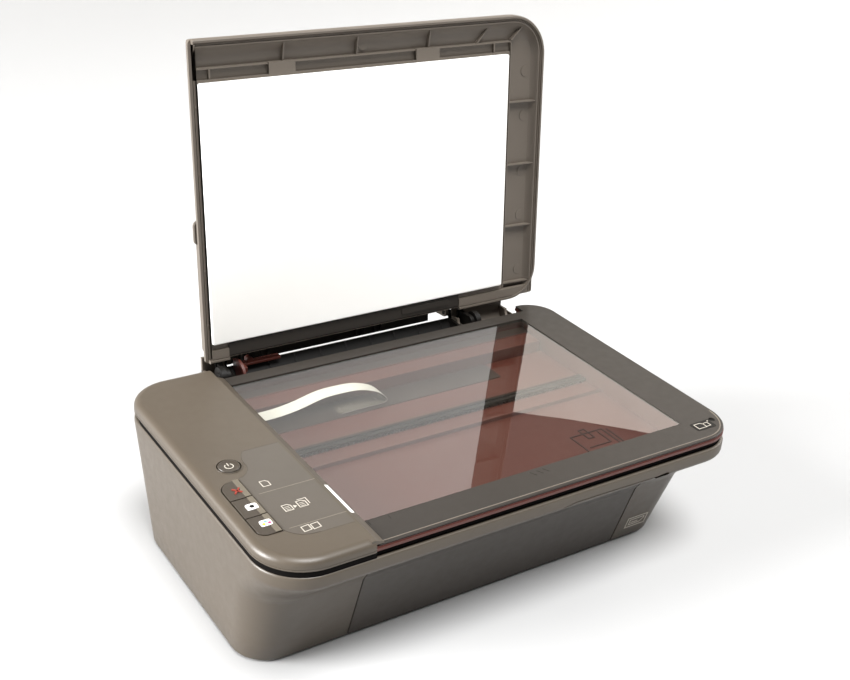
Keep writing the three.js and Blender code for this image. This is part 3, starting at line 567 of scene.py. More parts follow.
def bezel():
    edge = [(119.8, 1.9), (120.1, 1.5), (120.6, 1.4), (DECK_TOP, 2.0)]
    deck = loft([flat(deck_outline(inset, DECK_REAR), z) for z, inset in edge])
    under = prism("z", deck_outline(7, DECK_REAR - 4), 118.5, 120)
    opening = block(GLASS["x0"], GLASS["x1"], GLASS["y0"], GLASS["y1"], 110, 130)
    left = block(-220, -134, -170, 140, 110, 130)
    hole = rod("z", *PLUG, 3.0, 119.9, 125)
    frame_piece = carve(fuse(deck, under), opening, left, hole)
    piece("bezel", frame_piece, "deck", "housing", "scanner_bezel", edge=0.6)


def deck_marks():
    # A raised bead in the lighter lid plastic along the deck's front and right edges: painted
    # highlight of the deck's rounded edge.
    bead = [(x, y) for x, y in deck_outline(4.2, DECK_REAR) if x > -132 and y < 60]
    bead = [(-130, FRONT + 4.2), *bead]
    piece("deck_highlight_bead", stroke(bead, 1.0, DECK_TOP - 0.3, DECK_TOP + 0.3), "lid", "housing",
          edge=0.2)
    lines = [[(x, -124.4), (x, -128.6)] for x in (-127.6, -111)]
    lines += [[(x, -125.5), (x + 3, -131)] for x in (14, 20, 26)]
    ticks = [stroke(line, 0.5, DECK_TOP - 0.2, DECK_TOP + 0.06) for line in lines]
    piece("deck_ticks", ticks, "black", "housing", edge=0)
    patch = block(176.5, 197, -138.8, -127.2, DECK_TOP - 0.4, DECK_TOP + 0.2, 1.6)
    plug = rod("z", *PLUG, 2.9, 119.6, 120.3)
    piece("deck_patch", [patch, plug], "black", "housing", edge=0.06)
    low, high = DECK_TOP, DECK_TOP + 0.34
    page = [(179.5, -136.4), (188, -136.4), (188, -131.8), (185.8, -129.6), (179.5, -129.6)]
    icon = [stroke(page, 0.6, low, high, True),
            stroke([(188.6, -131), (192.8, -131), (192.8, -136), (188.6, -136)], 0.55, low, high)]
    dot = rod("z", 194.8, -129.6, 0.7, low, high, 16)
    piece("deck_icon", [*icon, dot], "print", "housing", edge=0)


def glass_pane():
    gap = 0.3
    pane = block(GLASS["x0"] + gap, GLASS["x1"] - gap, GLASS["y0"] + gap, GLASS["y1"] - gap,
                 GLASS["z0"], GLASS["z1"])
    piece("glass_pane", pane, "glass", "housing", "scanner_glass", edge=0)


def rail():
    slot = block(-192, 176, RAIL_Y - 1.5, RAIL_Y + 1.5, 102, 105)
    bar = carve(block(-190, 175, RAIL_Y - 4.4, RAIL_Y + 4.4, 100.2, 103.4), slot)
    teeth = [block(x, x + 1.2, RAIL_Y - 6.2, RAIL_Y - 4.3, 100.2, 102.2)
             for x in spread(-130, 170, 100)]
    piece("rail", [bar, *teeth], "black", "housing", "scan_rail", edge=0.15)


def light_bar():
    """The bar's slotted head, the lens in the slot, the foot on the rail and the motor."""
    def across(half, y0, y1, z0, z1, radius=0.0):
        return block(BAR_X - half, BAR_X + half, y0, y1, z0, z1, radius)

    head = fuse(across(7, -105, 67, 107, 117.4, 1.5), across(7, 60, 96, 112.2, 117.4, 1.5))
    carve(head, across(1.6, -102, 93, 116, 119))
    foot = across(5, RAIL_Y - 6, RAIL_Y + 6, 103.8, 107.5, 1)
    runner = across(1, RAIL_Y - 1, RAIL_Y + 1, 102.4, 104)
    piece("light_bar", [head, foot, runner], "deck", "scan_bar", "scan_bar", edge=0.3)
    lens = across(1.4, -101.5, 92.5, 115.6, 116.6)
    piece("light_bar_lens", lens, "white", "scan_bar", edge=0.2)
    rings = [(100.4, 5.6), (100.8, 6), (106.2, 6), (106.7, 5.5)]
    motor = loft([flat(circle(BAR_X, RAIL_Y + 26, radius), z) for z, radius in rings])
    piece("bar_motor", motor, "steel", "scan_bar", "scan_motor", edge=0)


def tub_details():
    ridges = [block(-130, 172, y, y + 1.2, TUB_FLOOR - 0.5, 111.5) for y in (87.6, 68.6)]
    steps = [block(-190, 174, 69.4, 88, TUB_FLOOR - 0.5, 110.6),
             block(-190, 174, -20.6, -19.2, TUB_FLOOR - 0.5, 103.6)]
    piece("tub_steps", [*ridges, *steps], "brown", "housing", edge=0.4)
    # Dark brown bands on the tub floor are painted shade: the rear strip lies in the bezel and
    # lid's shadow, the other under the ribbon.
    bands = [block(-191, 175, 88.6, 100.6, TUB_FLOOR - 0.4, 111.2),
             block(-150, 110, 42, 68.2, TUB_FLOOR - 0.4, 100.8, 2)]
    piece("tub_shade_bands", bands, "dark_brown", "housing", edge=0.3)
    page = [(99, -72), (99, -98), (132, -98), (132, -72)]
    inner = [(126, -74), (126, -92), (104, -92)]
    clip = [(112, -66), (118, -66), (118, -80), (112, -80)]
    low, high = TUB_FLOOR, TUB_FLOOR + 0.6
    marks = [stroke(page, 0.9, low, high, True), stroke(clip, 0.8, low, high, True),
             stroke([(136, -74), (136, -102), (104, -102)], 0.9, low, high),
             stroke(inner, 0.7, low, high)]
    piece("tub_pictogram", marks, "dark_brown", "housing", edge=0)


def ribbon():
    """Flat cable: from the scan bar over the rear of the tub in one bend, and down to its floor."""
    route = [(BAR_X + 7.4, 114.5), (-119, 112), (-92, 113.2), (-68, 117), (-50, 117.6),
             (-33, 117), (-19, 113.2), (-11, 108.5), (-7.5, 104.2), (-9, 101.9), (-14, 101.3),
             (-40, 101.2), (-58, 100.4)]
    rings = []
    half_thick, half_wide = 0.15, 7
    path = smooth(route, 5)
    for i, (x, z) in enumerate(path):
        a, b = path[max(0, i - 1)], path[min(len(path) - 1, i + 1)]
        along = Vector((b[0] - a[0], b[1] - a[1])).normalized()
        nx, nz = -along.y * half_thick, along.x * half_thick
        bow = 4.8 * math.exp(-(((x + 55) / 45) ** 2)) if i < len(path) * 0.6 else 0
        y0, y1 = RIBBON_Y - half_wide + bow, RIBBON_Y + half_wide + bow
        rings.append([(x + nx, y0, z + nz), (x + nx, y1, z + nz),
                      (x - nx, y1, z - nz), (x - nx, y0, z - nz)])
    band = piece("scan_cable", loft(rings), "ribbon", None, "scan_ribbon", edge=0)
    band.data.materials.append(FINISH["film"][0])
    for face in band.data.polygons:
        face.material_index = 1 if face.index % 4 == 2 else 0
    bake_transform(band)


def scanner():
    rim_and_tub()
    tub_details()
    bezel()
    deck_marks()
    glass_pane()
    rail()
    light_bar()
    ribbon()


# ---- Control panel ----
# The well of the three long buttons, split at two places in Y; the round button's x, y, radius.
CLUSTER = dict(x0=-205.2, x1=-187.2, y0=-112.4, y1=-39.8, split=(-88.4, -64.2))
POWER = (-186, -21, 8.5)


def panel_ring(z, inset):
    left, rear = -HALF_W + inset, PANEL_REAR - inset
    corners = [(left, FRONT + inset, 40 - inset), (PANEL_EDGE, FRONT + inset, 0.6),
               (PANEL_EDGE, rear, 0.6), (left, rear, 36 - inset)]
    return flat(rounded(corners, 14), z)


def power_button():
    x, y, r = POWER
    rings = [(122, r - 0.1), (125.6, r - 0.1), (126.1, r - 0.5), (126.2, r - 1.2), (126.0, r - 1.9),
             (125.75, r - 2.6), (125.7, r * 0.4)]
    cap = loft([flat(circle(x, y, radius, 48), z) for z, radius in rings])
    piece("power_cap", cap, "dark_button", "power_button", "power_button", edge=0)
    mark = [stroke(arc(x, y - 0.3, 3.2, 125, 415, 26), 0.7, 125.6, 125.85),
            stroke([(x, y), (x, y + 4)], 0.7, 125.6, 125.85)]
    piece("power_mark", mark, "print", "power_button", edge=0)


def long_buttons():
    """Three caps in one well; left of step_x they are lower and darker."""
    gap, step_x, top = 0.85, -192.6, 126.2
    low, high = CLUSTER["split"]
    spans = {
        "cancel_button": (high, CLUSTER["y1"], (0.5, 0.5, 0.5, 11.5)),
        "mono_copy_button": (low, high, (0.5, 0.5, 0.5, 0.5)),
        "colour_copy_button": (CLUSTER["y0"], low, (7, 0.5, 0.5, 0.5)),
    }
    for name, (y0, y1, radii) in spans.items():
        outline = rect(CLUSTER["x0"] + gap, CLUSTER["x1"] - gap, y0 + gap * 0.6, y1 - gap * 0.6,
                       radii)
        step = block(-210, step_x, y0 - 1, y1 + 1, top - 0.45, 128)
        cap = carve(prism("z", outline, 122, top), step)
        made = piece(name + "_cap", cap, "light_button", name, name, edge=0.25)
        tint_faces(made, "dark_button", lambda p: p.x < step_x)


def button_marks():
    low = 125.6
    cross = [stroke([(-197.6, y0), (-191.8, y1)], 1.3, low, 126.38)
             for y0, y1 in ((-51, -57.2), (-57.2, -51))]
    piece("cancel_mark", cross, "red", "cancel_button", edge=0)
    x, mono_y, colour_y = -194.2, -77, -99.2
    for body, y in (("mono_copy_button", mono_y), ("colour_copy_button", colour_y)):
        patch = block(x - 4.2, x + 4.2, y - 3.4, y + 3.4, low, 126.36, 1.4)
        piece(body + "_patch", patch, "ink", body, edge=0.05)
    drop = rod("z", x, mono_y, 1.9, 126.1, 126.44, 24)
    piece("mono_mark", drop, "black", "mono_copy_button", edge=0)
    for name, dx, dy in (("cyan", 0.3, 1.5), ("yellow", -2.1, -1.2), ("magenta", 2.3, -0.9)):
        drop = rod("z", x + dx, colour_y + dy, 1.35, 126.1, 126.44, 20)
        piece(name + "_mark", drop, name, "colour_copy_button", edge=0)


def buttons():
    power_button()
    long_buttons()
    button_marks()


def pictograms(low, high):
    """Pages, an arrow between two of them, and an open book, in thin raised lines."""
    def page(x0, x1, y0, y1):
        fold = 2
        outline = [(x0, y0), (x1, y0), (x1, y1 - fold), (x1 - fold, y1), (x0, y1)]
        return stroke(outline, 0.65, low, high, True)

    def leaf(x0, x1):
        y0, y1, rise = -120, -114, 0.6
        outline = [(x0, y0), (x1, y0 + rise), (x1, y1 + rise), (x0, y1)]
        return stroke(outline, 0.65, low, high, True)

    pages = [page(-175.4, -169.4, -57, -49.8), page(-175.2, -169, -92.4, -84.8),
             page(-163.8, -157.4, -92.2, -84.6)]
    behind = stroke([(-162, -82.8), (-155.4, -83), (-155.4, -90.6)], 0.6, low, high)
    arrow = prism("z", [(-167.6, -87.6), (-167.6, -91.2), (-165, -89.4)], low, high)
    book = [leaf(-174.9, -169), leaf(-167.6, -161.8)]
    lines = [stroke([(x, y), (x + 3.6, y)], 0.5, low, high)
             for x in (-174, -162.5) for y in (-87.4, -89.2, -91)]
    piece("panel_print", [*pages, behind, arrow, *book, *lines], "print", "housing", edge=0)


def label():
    """The dark film on the panel, with its rules, its edge and the printed pictograms."""
    low, high = PANEL_TOP - 0.1, PANEL_TOP + 0.1
    right = -138.6
    notch = [(-168.5, -6), (-171, -10.4), (-173.4, -16), (-174, -22), (-174, -26.5),
             (-175.4, -31), (-178.6, -35.2), (-182.6, -38), (-186.6, -39)]
    foot = [(-186.6, -111.7), (-184.8, -115), (-182, -118.6), (-177.8, -121.8), (-172, -123.8),
            (-165, -124.6)]
    film = prism("z", [(right + 0.2, -6), *notch, *foot, (right + 0.2, -125)][::-1], low, high)
    piece("panel_label", film, "label", "housing", edge=0)
    rules = [stroke([(-182.4, y), (right + 1, y)], 0.5, low, high + 0.08) for y in (-64, -111.5)]
    piece("panel_rules", rules, "line", "housing", edge=0)
    edges = [stroke(line, 0.3, low, high + 0.05) for line in ([(right, -6), *notch], foot)]
    piece("panel_label_edge", edges, "dark_button", "housing", edge=0)
    pictograms(low, high + 0.12)

    tilt = Matrix.Translation((-133.4, 0, 123.72)) @ Matrix.Rotation(math.radians(21.4), 4, "Y")
    tab = block(-1.4, 1.5, -113, -73.4, -0.1, 0.22)
    piece("panel_tab", tab, "ink", "housing", edge=0, turn=tilt)


def panel_skin():
    """The moulding: a stepped foot, a round top edge and the slope down to the glass."""
    top = 5.2
    levels = [(115.7, 0.4), (115.9, 0), (116.9, 0), (117.1, 0.4), (117.4, 0.4), (117.6, 0)]
    levels += [(PANEL_TOP - top + top * math.sin(a), top * 1.25 * (1 - math.cos(a)))
               for a in [math.radians(t) for t in spread(0, 90, 9)]]
    skin = loft([panel_ring(z, inset) for z, inset in levels])
    slope = [(PANEL_EDGE - 4, 123), (PANEL_EDGE - 4, PANEL_TOP), (PANEL_EDGE - 1, PANEL_TOP),
             (PANEL_EDGE + 0.6, 124.7), (-130.8, 122.7), (-130.2, 122.2), (-130.2, 121.5),
             (PANEL_EDGE, 121.5)]
    return fuse(skin, prism("y", slope, -151.6, DECK_REAR - 1.2))


def panel_core(inset, radii, z1):
    """What the panel's underside is hollowed by."""
    return prism("z", rect(-HALF_W + inset, PANEL_EDGE - 1.2, FRONT + inset, PANEL_REAR - inset,
                           radii), 110, z1)


def control_panel():
    open_side = block(PANEL_EDGE - 3, PANEL_EDGE + 1, -150.2, 140, 110, 121.5)
    well = rect(CLUSTER["x0"], CLUSTER["x1"], CLUSTER["y0"], CLUSTER["y1"], (7.5, 0.6, 0.6, 12))
    x, y, radius = POWER
    skin = carve(panel_skin(), panel_core(6.5, (33, 1, 1, 29), 122),
                 panel_core(2.6, (37, 1, 1, 33), 119), open_side, prism("z", well, 118, 130),
                 rod("z", x, y, radius + 0.8, 118, 130, 48))
    piece("panel", skin, "shell", "housing", "control_panel", edge=0.3)
    collar = frame_of(circle(x, y, radius + 1.5, 48), circle(x, y, radius + 0.8, 48), 124.8, 125.7)
    piece("power_collar", collar, "shell", "housing", edge=0.2)
    buttons()
    label()


# ---- Lid, drawn shut ----
def lid_profile(drop=0.0):
    """The closed lid from the side."""
    points = [(LID["y1"], LID_BOTTOM - 4), *bent((115, 137), (80, LID_TOP), (20, LID_TOP)),
              *bent((-100, LID_TOP), (-150, LID_TOP), (-156, 130)), (LID["y0"], LID_BOTTOM - 4)]
    return [(y, z - drop) for y, z in points]


def lid_crown(drop=0.0):
    """The closed lid from the front."""
    points = [(-136, LID_BOTTOM - 4), *bent((-136, 126.6), (-131.5, 137), (-110, 142.5)),
              *bent((-109, 142.7), (-94, LID_TOP), (-70, LID_TOP), 6),
              *bent((150, LID_TOP), (200, LID_TOP), (214, 132)), (214, LID_BOTTOM - 4)]
    return [(x, z - drop) for x, z in points]


def lid_outline(inset):
    return rect(LID["x0"] + inset, LID["x1"] - inset, LID["y0"] + inset, LID["y1"] - inset,
                (max(1, 4 - inset), 37 - inset, 30 - inset, max(1, 2 - inset)), 14)


def tail(x0, x1):
    """Quarter barrel that carries the lid's skin down around its hinge axis."""
    y, z = LID_AXIS
    outer = [(LID["y1"] - 2, TAIL_TOP), *arc(y, z, TAIL_OUTER, 92, -4, 30)]
    inner = [*arc(y, z, TAIL_INNER, -4, 92, 30), (LID["y1"] - 2, TAIL_TOP - WALL)]
    skin = prism("x", outer + inner, x0, x1)
    end = arc(y, z, TAIL_OUTER - 0.1, 92, -4, 30) + arc(y, z, 9.6, -4, 92, 12)
    return joined(skin, prism("x", end, x0, x0 + WALL), prism("x", end, x1 - WALL, x1))


def moulding():
    """Inner moulding of the lid: a lipped channel round the pad, with ribs, tabs and pin marks."""
    def ring(front, side, z, radius):
        right, near = LID["x1"] - side, LID["y0"] + front
        return flat(rounded([(-129.9, near, 0.5), (right, near, radius), (right, 112, 2),
                             (-129.9, 112, 0.5)], 14), z)

    # Sections: set in at the front, set in at the right, height, corner radius.
    lip = [(2.7, 2.7, 122.8, 34), (3.6, 3.6, 122.6, 33), (4.2, 4.2, 123.9, 32.6),
           (5.0, 5.0, 123.9, 32), (5.4, 5.4, 122.9, 31), (6.2, 6.2, 122.9, 30)]
    hollow = [(8, 7.4, 124.8, 28), (11, 8.6, 127.6, 26), (14.5, 10.6, 129.2, 22),
              (18, 17, 129.8, 17), (21, 27, 130.4, 10), (22.6, 34, 130.6, 5)]
    wall = [(22.8, 34.4, 126.6, 2), (24.0, 35.6, 126.4, 1.6), (24.2, 35.8, 129.2, 1),
            (38, 44, 129.2, 0.6)]
    back = [(38, 44, 131.5, 0.6), (20, 30, 133.6, 13), (8, 9, 129, 28), (2.7, 2.7, 126, 34)]
    channel = loft([ring(*level) for level in lip + hollow + wall + back], loop=True)

    ribs = [prism("x", [(-151, 123.4), (-133.4, 126.8), (-133.4, 132), (-151, 130)], x, x + 1.1)
            for x in (-53, 16, 88)]
    ribs += [prism("y", [(178, 126.8), (206, 124), (206, 130), (178, 132)], y, y + 1.1)
             for y in (-77.3, -18.3, 41.8, 98.8)]
    ribs += [stroke([(140, -133.4), (153, -148)], 1.0, 126.6, 132),
             stroke([(177, -133.4), (191, -147.5)], 1.1, 125.6, 132)]
    ribs += [block(x, x + 1.3, -133, -122.5, 126.3, 130) for x in (-118, 158)]
    ribs += [block(-131.6, -128, y, y + 1.3, 124.4, 130) for y in (-104, -50, 32, 80)]
    hook = [(-133.6, 131), (-133.6, 125.4), (-120.6, 125.0), (-120.6, 126.4), (-131, 127),
            (-131, 131)]
    tabs = [prism("x", hook, x, x + 24) for x in (-66, 75)]
    marks = [rod("z", 197, y, 5, 129.45, 131) for y in (-104, -63, -10, 33, 88)]
    marks.append(rod("z", 24, -141, 5, 129.1, 131))
    plate = block(-131.5, 175, -124, 111.8, 125.2, 127)
    sides = [block(x0, x1, 104, 111.8, 122.8, 127) for x0, x1 in ((-129.9, -113.8), (123.8, 205))]
    piece("lid_moulding", [channel, *ribs, *tabs, *marks, plate, *sides], "lid", "scanner_lid",
          "lid_liner", edge=0.25, turn=LID_TURN)
    # The rear rail below the pad takes the dark deck plastic instead of the lid's: painted shade,
    # as the lid's rear lies in shadow.
    strip = [block(-113.6, 123.6, 99.4, 111.8, 123.6, 125.4),
             block(-113.6, 123.6, 110.2, 111.8, 123.6, 136),
             block(60, 112, 102, 108, 122.9, 123.8, 1.5)]
    piece("lid_rear_rail", strip, "deck", "scanner_lid", edge=0.3, turn=LID_TURN)


def lid():
    rim = [(LID_BOTTOM, 0.9), (122.0, 0.3), (122.6, 0), (150, 0)]
    outer = keep(loft([flat(lid_outline(inset), z) for z, inset in rim]),
                 prism("x", lid_profile(), -140, 220), prism("y", lid_crown(), -160, 120))
    cavity = keep(prism("z", lid_outline(WALL), 118, 152),
                  prism("x", lid_profile(WALL), -139, 219), prism("y", lid_crown(WALL), -160, 120))
    left_step = block(LID["x0"] - 1, LID["x0"] + WALL + 0.1, -160, 120, 118, 126)
    rear_gap = block(-113.8, 123.8, 111.9, 120, 118, 129)
    carve(outer, cavity, left_step, rear_gap)
    tails = [tail(LID["x0"], -113.8), tail(123.8, 182)]
    piece("lid_cover", [outer, *tails], "lid", "scanner_lid", "lid_shell", edge=0.6, turn=LID_TURN)
    moulding()
    rings = [(120.8, 1.0), (121.0, 0.4), (121.5, 0), (124.4, 0), (124.9, 0.3), (125.2, 0.8)]
    pad = loft([flat(rect(-129.3 + i, 171.8 - i, -122.1 + i, 98.2 - i, 1.8), z) for z, i in rings])
    piece("white_pad", pad, "foam", "scanner_lid", "lid_pad", edge=0, turn=LID_TURN)
    for name, x, pin in (("lid_hinge_left", -120.5, -128.5), ("lid_hinge_right", 131.5, 131.5)):
        y, z = LID_AXIS
        arm = prism("x", [*arc(y, z, 6, 0, -180), (y - 6, 134.2), (y + 6, 133)], x - 2, x + 2)
        rib = block(x - 3.4, x + 3.4, y - 6, y + 6, 131, 133)
        pivot = rod("x", y, z, 4, pin, pin + 8)
        piece(name + "_arm", [arm, rib, pivot], "black", "scanner_lid", name, turn=LID_TURN)


def hinges():
    """Ears on the body that the lid's pins turn in."""
    y, z = LID_AXIS
    for name, x0 in (("hinge_bracket_left", -128), ("hinge_bracket_right", 134)):
        ear = rod("x", y, z, 9, x0, x0 + 5, 48)
        side = [(y - 9, z), (y - 3, z - 8.5), (y - 10, 80), (y - 24, 80), (y - 22, 90)]
        web = prism("x", side, x0, x0 + 5)
        bore = rod("x", y, z, 4.3, x0 - 1, x0 + 6)
        piece(name + "_ear", carve(fuse(ear, web), bore), "black", "housing", name, edge=0.4)


# ---- Rear paper input ----
BED_FOOT, BED_TOP = (92, 46), (147, 111.6)


def bed_y(z):
    """Y of the sloped bed at a height."""
    (foot_y, foot_z), (top_y, top_z) = BED_FOOT, BED_TOP
    return foot_y + (z - foot_z) * (top_y - foot_y) / (top_z - foot_z)


def flap_lug(x):
    """Ear on the chute, with the pin that the flap's arm turns on."""
    y, z = FLAP_AXIS
    outline = [(145.8, 104), (145.8, 112), (y - 3, z + 3), (y + 3, z + 3), (y + 3, z - 2.5),
               (147.2, 112.7), (147.2, 104)]
    pin = x + 2 if x < 0 else x - 4.4
    return joined(prism("x", outline, x, x + 2.4), rod("x", y, z, 2, pin, pin + 4.8, 20))


def flap_arm(x):
    y, z = FLAP_AXIS
    arm = fuse(block(x, x + 3.4, y - 4, y + 4, z, 151.5), rod("x", y, z, 4, x, x + 3.4, 32))
    return carve(arm, rod("x", y, z, 2.3, x - 1, x + 4.4, 24))


def chute():
    bed = prism("x", [BED_TOP, BED_FOOT, (74, 36.5), (30.5, 29), (30.5, 26.8), (75, 34.2),
                      (94, 44.2), (147.3, 107.6)], -110.6, 121.2)
    side = [(147.3, 112), (147.3, 107.6), (94, 44.2), (86, 44.2), (113, 84), (113, 112)]
    cheeks = [prism("x", side, x, x + 2.6) for x in (-113.2, 120.6)]
    lip = block(-113, 123, 113, 115.5, 84, 112)
    ribs = [block(x, x + 1, 115, 118, 100, 113.2) for a in (-78, -25, 28, 82) for x in (a, a + 5)]
    track = [(146, 112.1), (bed_y(70), 71.2), (bed_y(70), 69), (146, 110)]
    tracks = [prism("x", track, x, x + 1) for x in spread(-98, 110, 8)]
    lugs = [flap_lug(x) for x in (-113.4, 121)]
    piece("chute", [bed, *cheeks, lip, *ribs, *tracks, *lugs], "black", "housing",
          "paper_chute", edge=0.3)


def paper_guide():
    fin = [(bed_y(96) - 1, 96), (146.2, 112.9), (146.2, 118), (144.6, 119.8), (141.6, 121.2),
           (136, 122), (130.6, 120.6), (126.4, 117.4), (123.6, 113), (122, 108), (122, 100)]
    guide = [prism("x", fin, -105.4, -102.8), block(-103, -62, 139, 146.2, 112.9, 115, 1),
             block(-103.2, -99.6, 128, 146.2, 113, 117.5, 0.8),
             rod("y", -92, 117.2, 3.1, 139.4, 145.6, 24),
             block(-90, -64, 141, 142.2, 114.8, 116.6)]
    piece("paper_guide", guide, "brown", "width_guide", "width_guide", edge=0.35)


def flap():
    """The paper support, drawn folded over the shut lid, and the ribbed apron behind it."""
    def plate_ring(inset):
        radii = (26 - inset, 26 - inset, 5 - inset, 5 - inset)
        return rect(-117 + inset, 132 - inset, 24 + inset, 155 - inset, radii, 12)

    rings = [(153.5, 1.2), (153.2, 0.5), (152.6, 0), (149, 0), (149, 2.2), (151.4, 2.6)]
    plate = loft([flat(plate_ring(inset), z) for z, inset in rings])
    lines = [block(-96, 105, y, y + 1, 150.6, 151.6) for y in (50, 76, 102, 128)]
    bump = loft([flat(rect(-119.6 + inset, -110 - inset, 32 + inset, 54 - inset, 4.8 - inset), z)
                 for z, inset in ((149.3, 0.8), (150, 0), (152, 0), (152.8, 1))])
    arms = [flap_arm(x) for x in (-110.6, 117.2)]
    apron = [block(-112, 121, 150, 170, 149.6, 151.6, 1)]
    apron += [block(a + x, a + x + 1.2, 151, 168.5, 146.6, 149.8)
              for a in (-82, -62, 38, 58) for x in (0, 7)]
    piece("flap_apron", apron, "black", "input_flap", edge=0.2, turn=FLAP_TURN)
    piece("flap", [plate, *lines, *arms, bump], "lid", "input_flap", "input_flap", turn=FLAP_TURN)


def paper_input():
    chute()
    paper_guide()
    flap()


# ---- Front tray and door ----
SIN, COS = math.sin(FACE_TILT), math.cos(FACE_TILT)


def on_face(up, into):
    """Point on the leaning front face: up along it from the table, into the body."""
    return (FACE_FOOT - up * SIN + into * COS, up * COS + into * SIN)


def face_slab(x0, x1, up0, up1, into0, into1):
    corners = ((up0, into0), (up1, into0), (up1, into1), (up0, into1))
    return prism("x", [on_face(up, into) for up, into in corners], x0, x1)


# Stands a drawing in X and Y up on the leaning face.
ON_FACE = Matrix(((1, 0, 0, 0), (0, -SIN, -COS, FACE_FOOT), (0, COS, -SIN, 0), (0, 0, 0, 1)))


def tray_and_stop():
    top = 66 / COS
    heights = [2.8, *[z for z in LEVELS if 2.8 < z < TRAY_LIP], TRAY_LIP - 0.6]
    outside = [(face_y(z), z) for z in heights] + [(face_y(TRAY_LIP) + 0.7, TRAY_LIP)]
    inside = [(y + 3, z) for y, z in reversed(outside[:-1])]
    skin = prism("x", outside + inside, TRAY_X[0] + 0.2, TRAY_X[1] - 0.2)
    plate = carve(face_slab(*TRAY_X, 2.8, top, 0.6, 9), face_slab(-88, 96, 12, top + 1, 3.5, 10))
    lips = [face_slab(x, x + 6, 11, top, 7.4, 9) for x in (-90, 92)]
    ribs = [face_slab(x, x + 1.2, 10, top - 3, 8.8, 9.8) for x in (-116, -104, 104, 116)]
    pins = [rod("x", *TRAY_AXIS, 2, x, x + 6.6, 24) for x in (TRAY_X[0] - 3.6, TRAY_X[1] - 3)]
    # The tray's darker plastic is painted shade of the front under the flare.
    piece("front_tray", [skin, plate, *lips, *ribs, *pins], "tray", "output_tray",
          "output_tray", edge=0.45, crease=30)

    stop = face_slab(-87.4, 95.4, 14, top - 0.4, 3.9, 7)
    windows = [face_slab(x, x + 44, 24, 52, 5.6, 8) for x in (-74, -18, 38)]
    grip = face_slab(-12, 20, top - 8, top + 1, 5.4, 8)
    piece("sheet_stop", carve(stop, *windows, grip), "tray", "tray_extender", "tray_extender",
          edge=0.4)


def inner_door():
    door = face_slab(-112, 118, 42, 69, 13, 16)
    axis = on_face(39.4, 14.5)
    knuckles = [rod("x", *axis, 3, x, x + 10, 24) for x in (-112, 108)]
    ribs = [face_slab(x, x + 1.4, 46, 66, 12.2, 13.2) for x in spread(-96, 102, 6)]
    bored = [carve(part, rod("x", *axis, 1.6, -113, 119, 20)) for part in (door, *knuckles)]
    piece("inner_door", [*bored, *ribs], "black", "cartridge_door", "cartridge_door", edge=0.3)


def front():
    tray_and_stop()
    inner_door()
    border = [(145.5, 15), (167, 15), (167, 27), (145.5, 27)]
    cartridge = [(148.5, 18), (160.5, 18), (164, 21.5), (164, 24.2), (148.5, 24.2)]
    icon = [stroke(border, 1.0, -0.3, 0.3, True), stroke(cartridge, 0.9, -0.3, 0.3, True),
            stroke([(150, 20.4), (158, 20.4)], 0.9, -0.3, 0.3)]
    piece("front_icon", icon, "print", "housing", edge=0, turn=ON_FACE)


# ---- CAD pieces that are carried over ----
CARRIED = {
    "black": "base_plate power_inlet platen black_cartridge colour_cartridge",
    "steel": "usb_socket mechanism_frame carriage_rod carriage_motor feed_motor star_wheels",
    "board": "control_board main_board",
    "grey": "encoder_strip service_station carriage pinch_rollers",
    "white": "motor_pulley idler_pulley motor_pinion feed_gear transfer_gear output_gear "
             "pickup_idler pickup_gear",
    "rubber": "drive_belt feed_roller output_roller pickup_roller",
}


def carried():
    """The CAD pieces that keep their shape get their material and rounded edges here."""
    for finish, names in CARRIED.items():
        material, slot = FINISH[finish]
        for name in names.split():
            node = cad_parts[name]
            node.data.materials.clear()
            node.data.materials.append(material)
            soften(node, 0.3)


# ---- Studio ----
def matte(name, value, warmth=1.0):
    """Surface without gloss; below 1, warmth takes blue and some green out of it."""
    material = bpy.data.materials.new(name)
    material.use_nodes = True
    shader = material.node_tree.nodes["Principled BSDF"]
    shader.inputs["Base Color"].default_value = (value, value * warmth**0.4, value * warmth, 1)
    shader.inputs["Roughness"].default_value = 1
    shader.inputs["Specular IOR Level"].default_value = 0
    return material


def staged(obj, name, material):
    obj.name = obj.data.name = name
    obj.data.materials.append(material)


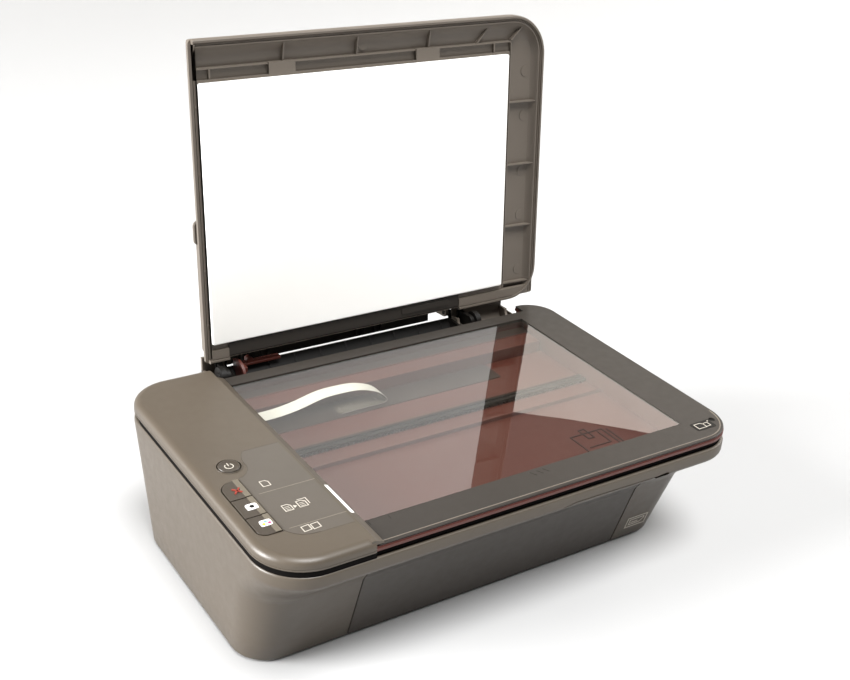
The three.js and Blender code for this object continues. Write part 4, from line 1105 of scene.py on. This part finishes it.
def studio():
    """A pale floor, a curved backdrop behind the object that its glass mirrors, and soft lamps."""
    half = 9
    corners = [(-half, -half), (half, -half), (half, half), (-half, half)]
    staged(solid(flat(corners, -0.0002), [(0, 1, 2, 3)]), "floor", matte("studio_white", 0.42))
    far, height = 4.2, 2.47
    curve = [(far * math.sin(a), far * math.cos(a))
             for a in (math.radians(t) for t in spread(-60, 84, 36))]
    count = len(curve)
    backdrop = solid(flat(curve, 0) + flat(curve, height),
                     [(i, i + 1, count + i + 1, count + i) for i in range(count - 1)])
    staged(backdrop, "backdrop", matte("backdrop_white", 0.76, 0.86))
    world = bpy.data.worlds.new("studio")
    bpy.context.scene.world = world
    world.use_nodes = True
    world.node_tree.nodes["Background"].inputs["Color"].default_value = (1.0, 0.99, 0.97, 1)
    world.node_tree.nodes["Background"].inputs["Strength"].default_value = 0.2
    lamps = [("key", -108, 17, 11, 34), ("fill", -4, 70, 5.3, 30), ("side", 88, 30, 1.8, 40)]
    for name, azimuth, elevation, strength, angle in lamps:
        lamp = bpy.data.lights.new(name, "SUN")
        lamp.energy = strength
        lamp.angle = math.radians(angle)
        obj = bpy.data.objects.new(name, lamp)
        bpy.context.scene.collection.objects.link(obj)
        a, e = math.radians(azimuth), math.radians(elevation)
        towards = Vector((math.sin(a) * math.cos(e), -math.cos(a) * math.cos(e), math.sin(e)))
        obj.rotation_euler = towards.to_track_quat("Z", "Y").to_euler()
    bpy.context.scene.view_settings.view_transform = "Standard"


def camera():
    """The photograph's view: fitted to the corners of the glass, the panel and the front."""
    place = (-0.5150, -0.7693, 0.6271)
    azimuth, elevation, roll = (math.radians(a) for a in (34.353, 26.249, 3.894))
    forward = Vector((math.sin(azimuth) * math.cos(elevation),
                      math.cos(azimuth) * math.cos(elevation), -math.sin(elevation)))
    level = Vector((math.cos(azimuth), -math.sin(azimuth), 0))
    upright = level.cross(forward)
    right = level * math.cos(roll) + upright * math.sin(roll)
    up = upright * math.cos(roll) - level * math.sin(roll)
    data = bpy.data.cameras.new("camera")
    data.lens, data.sensor_width = 53.19, 36
    data.clip_start, data.clip_end = 0.05, 50
    obj = bpy.data.objects.new("camera", data)
    bpy.context.scene.collection.objects.link(obj)
    turn = Matrix((right, up, -forward)).transposed().to_4x4()
    obj.matrix_world = Matrix.Translation(place) @ turn
    bpy.context.scene.camera = obj


lower_body()
scanner()
control_panel()
lid()
hinges()
paper_input()
front()
carried()
studio()
camera()
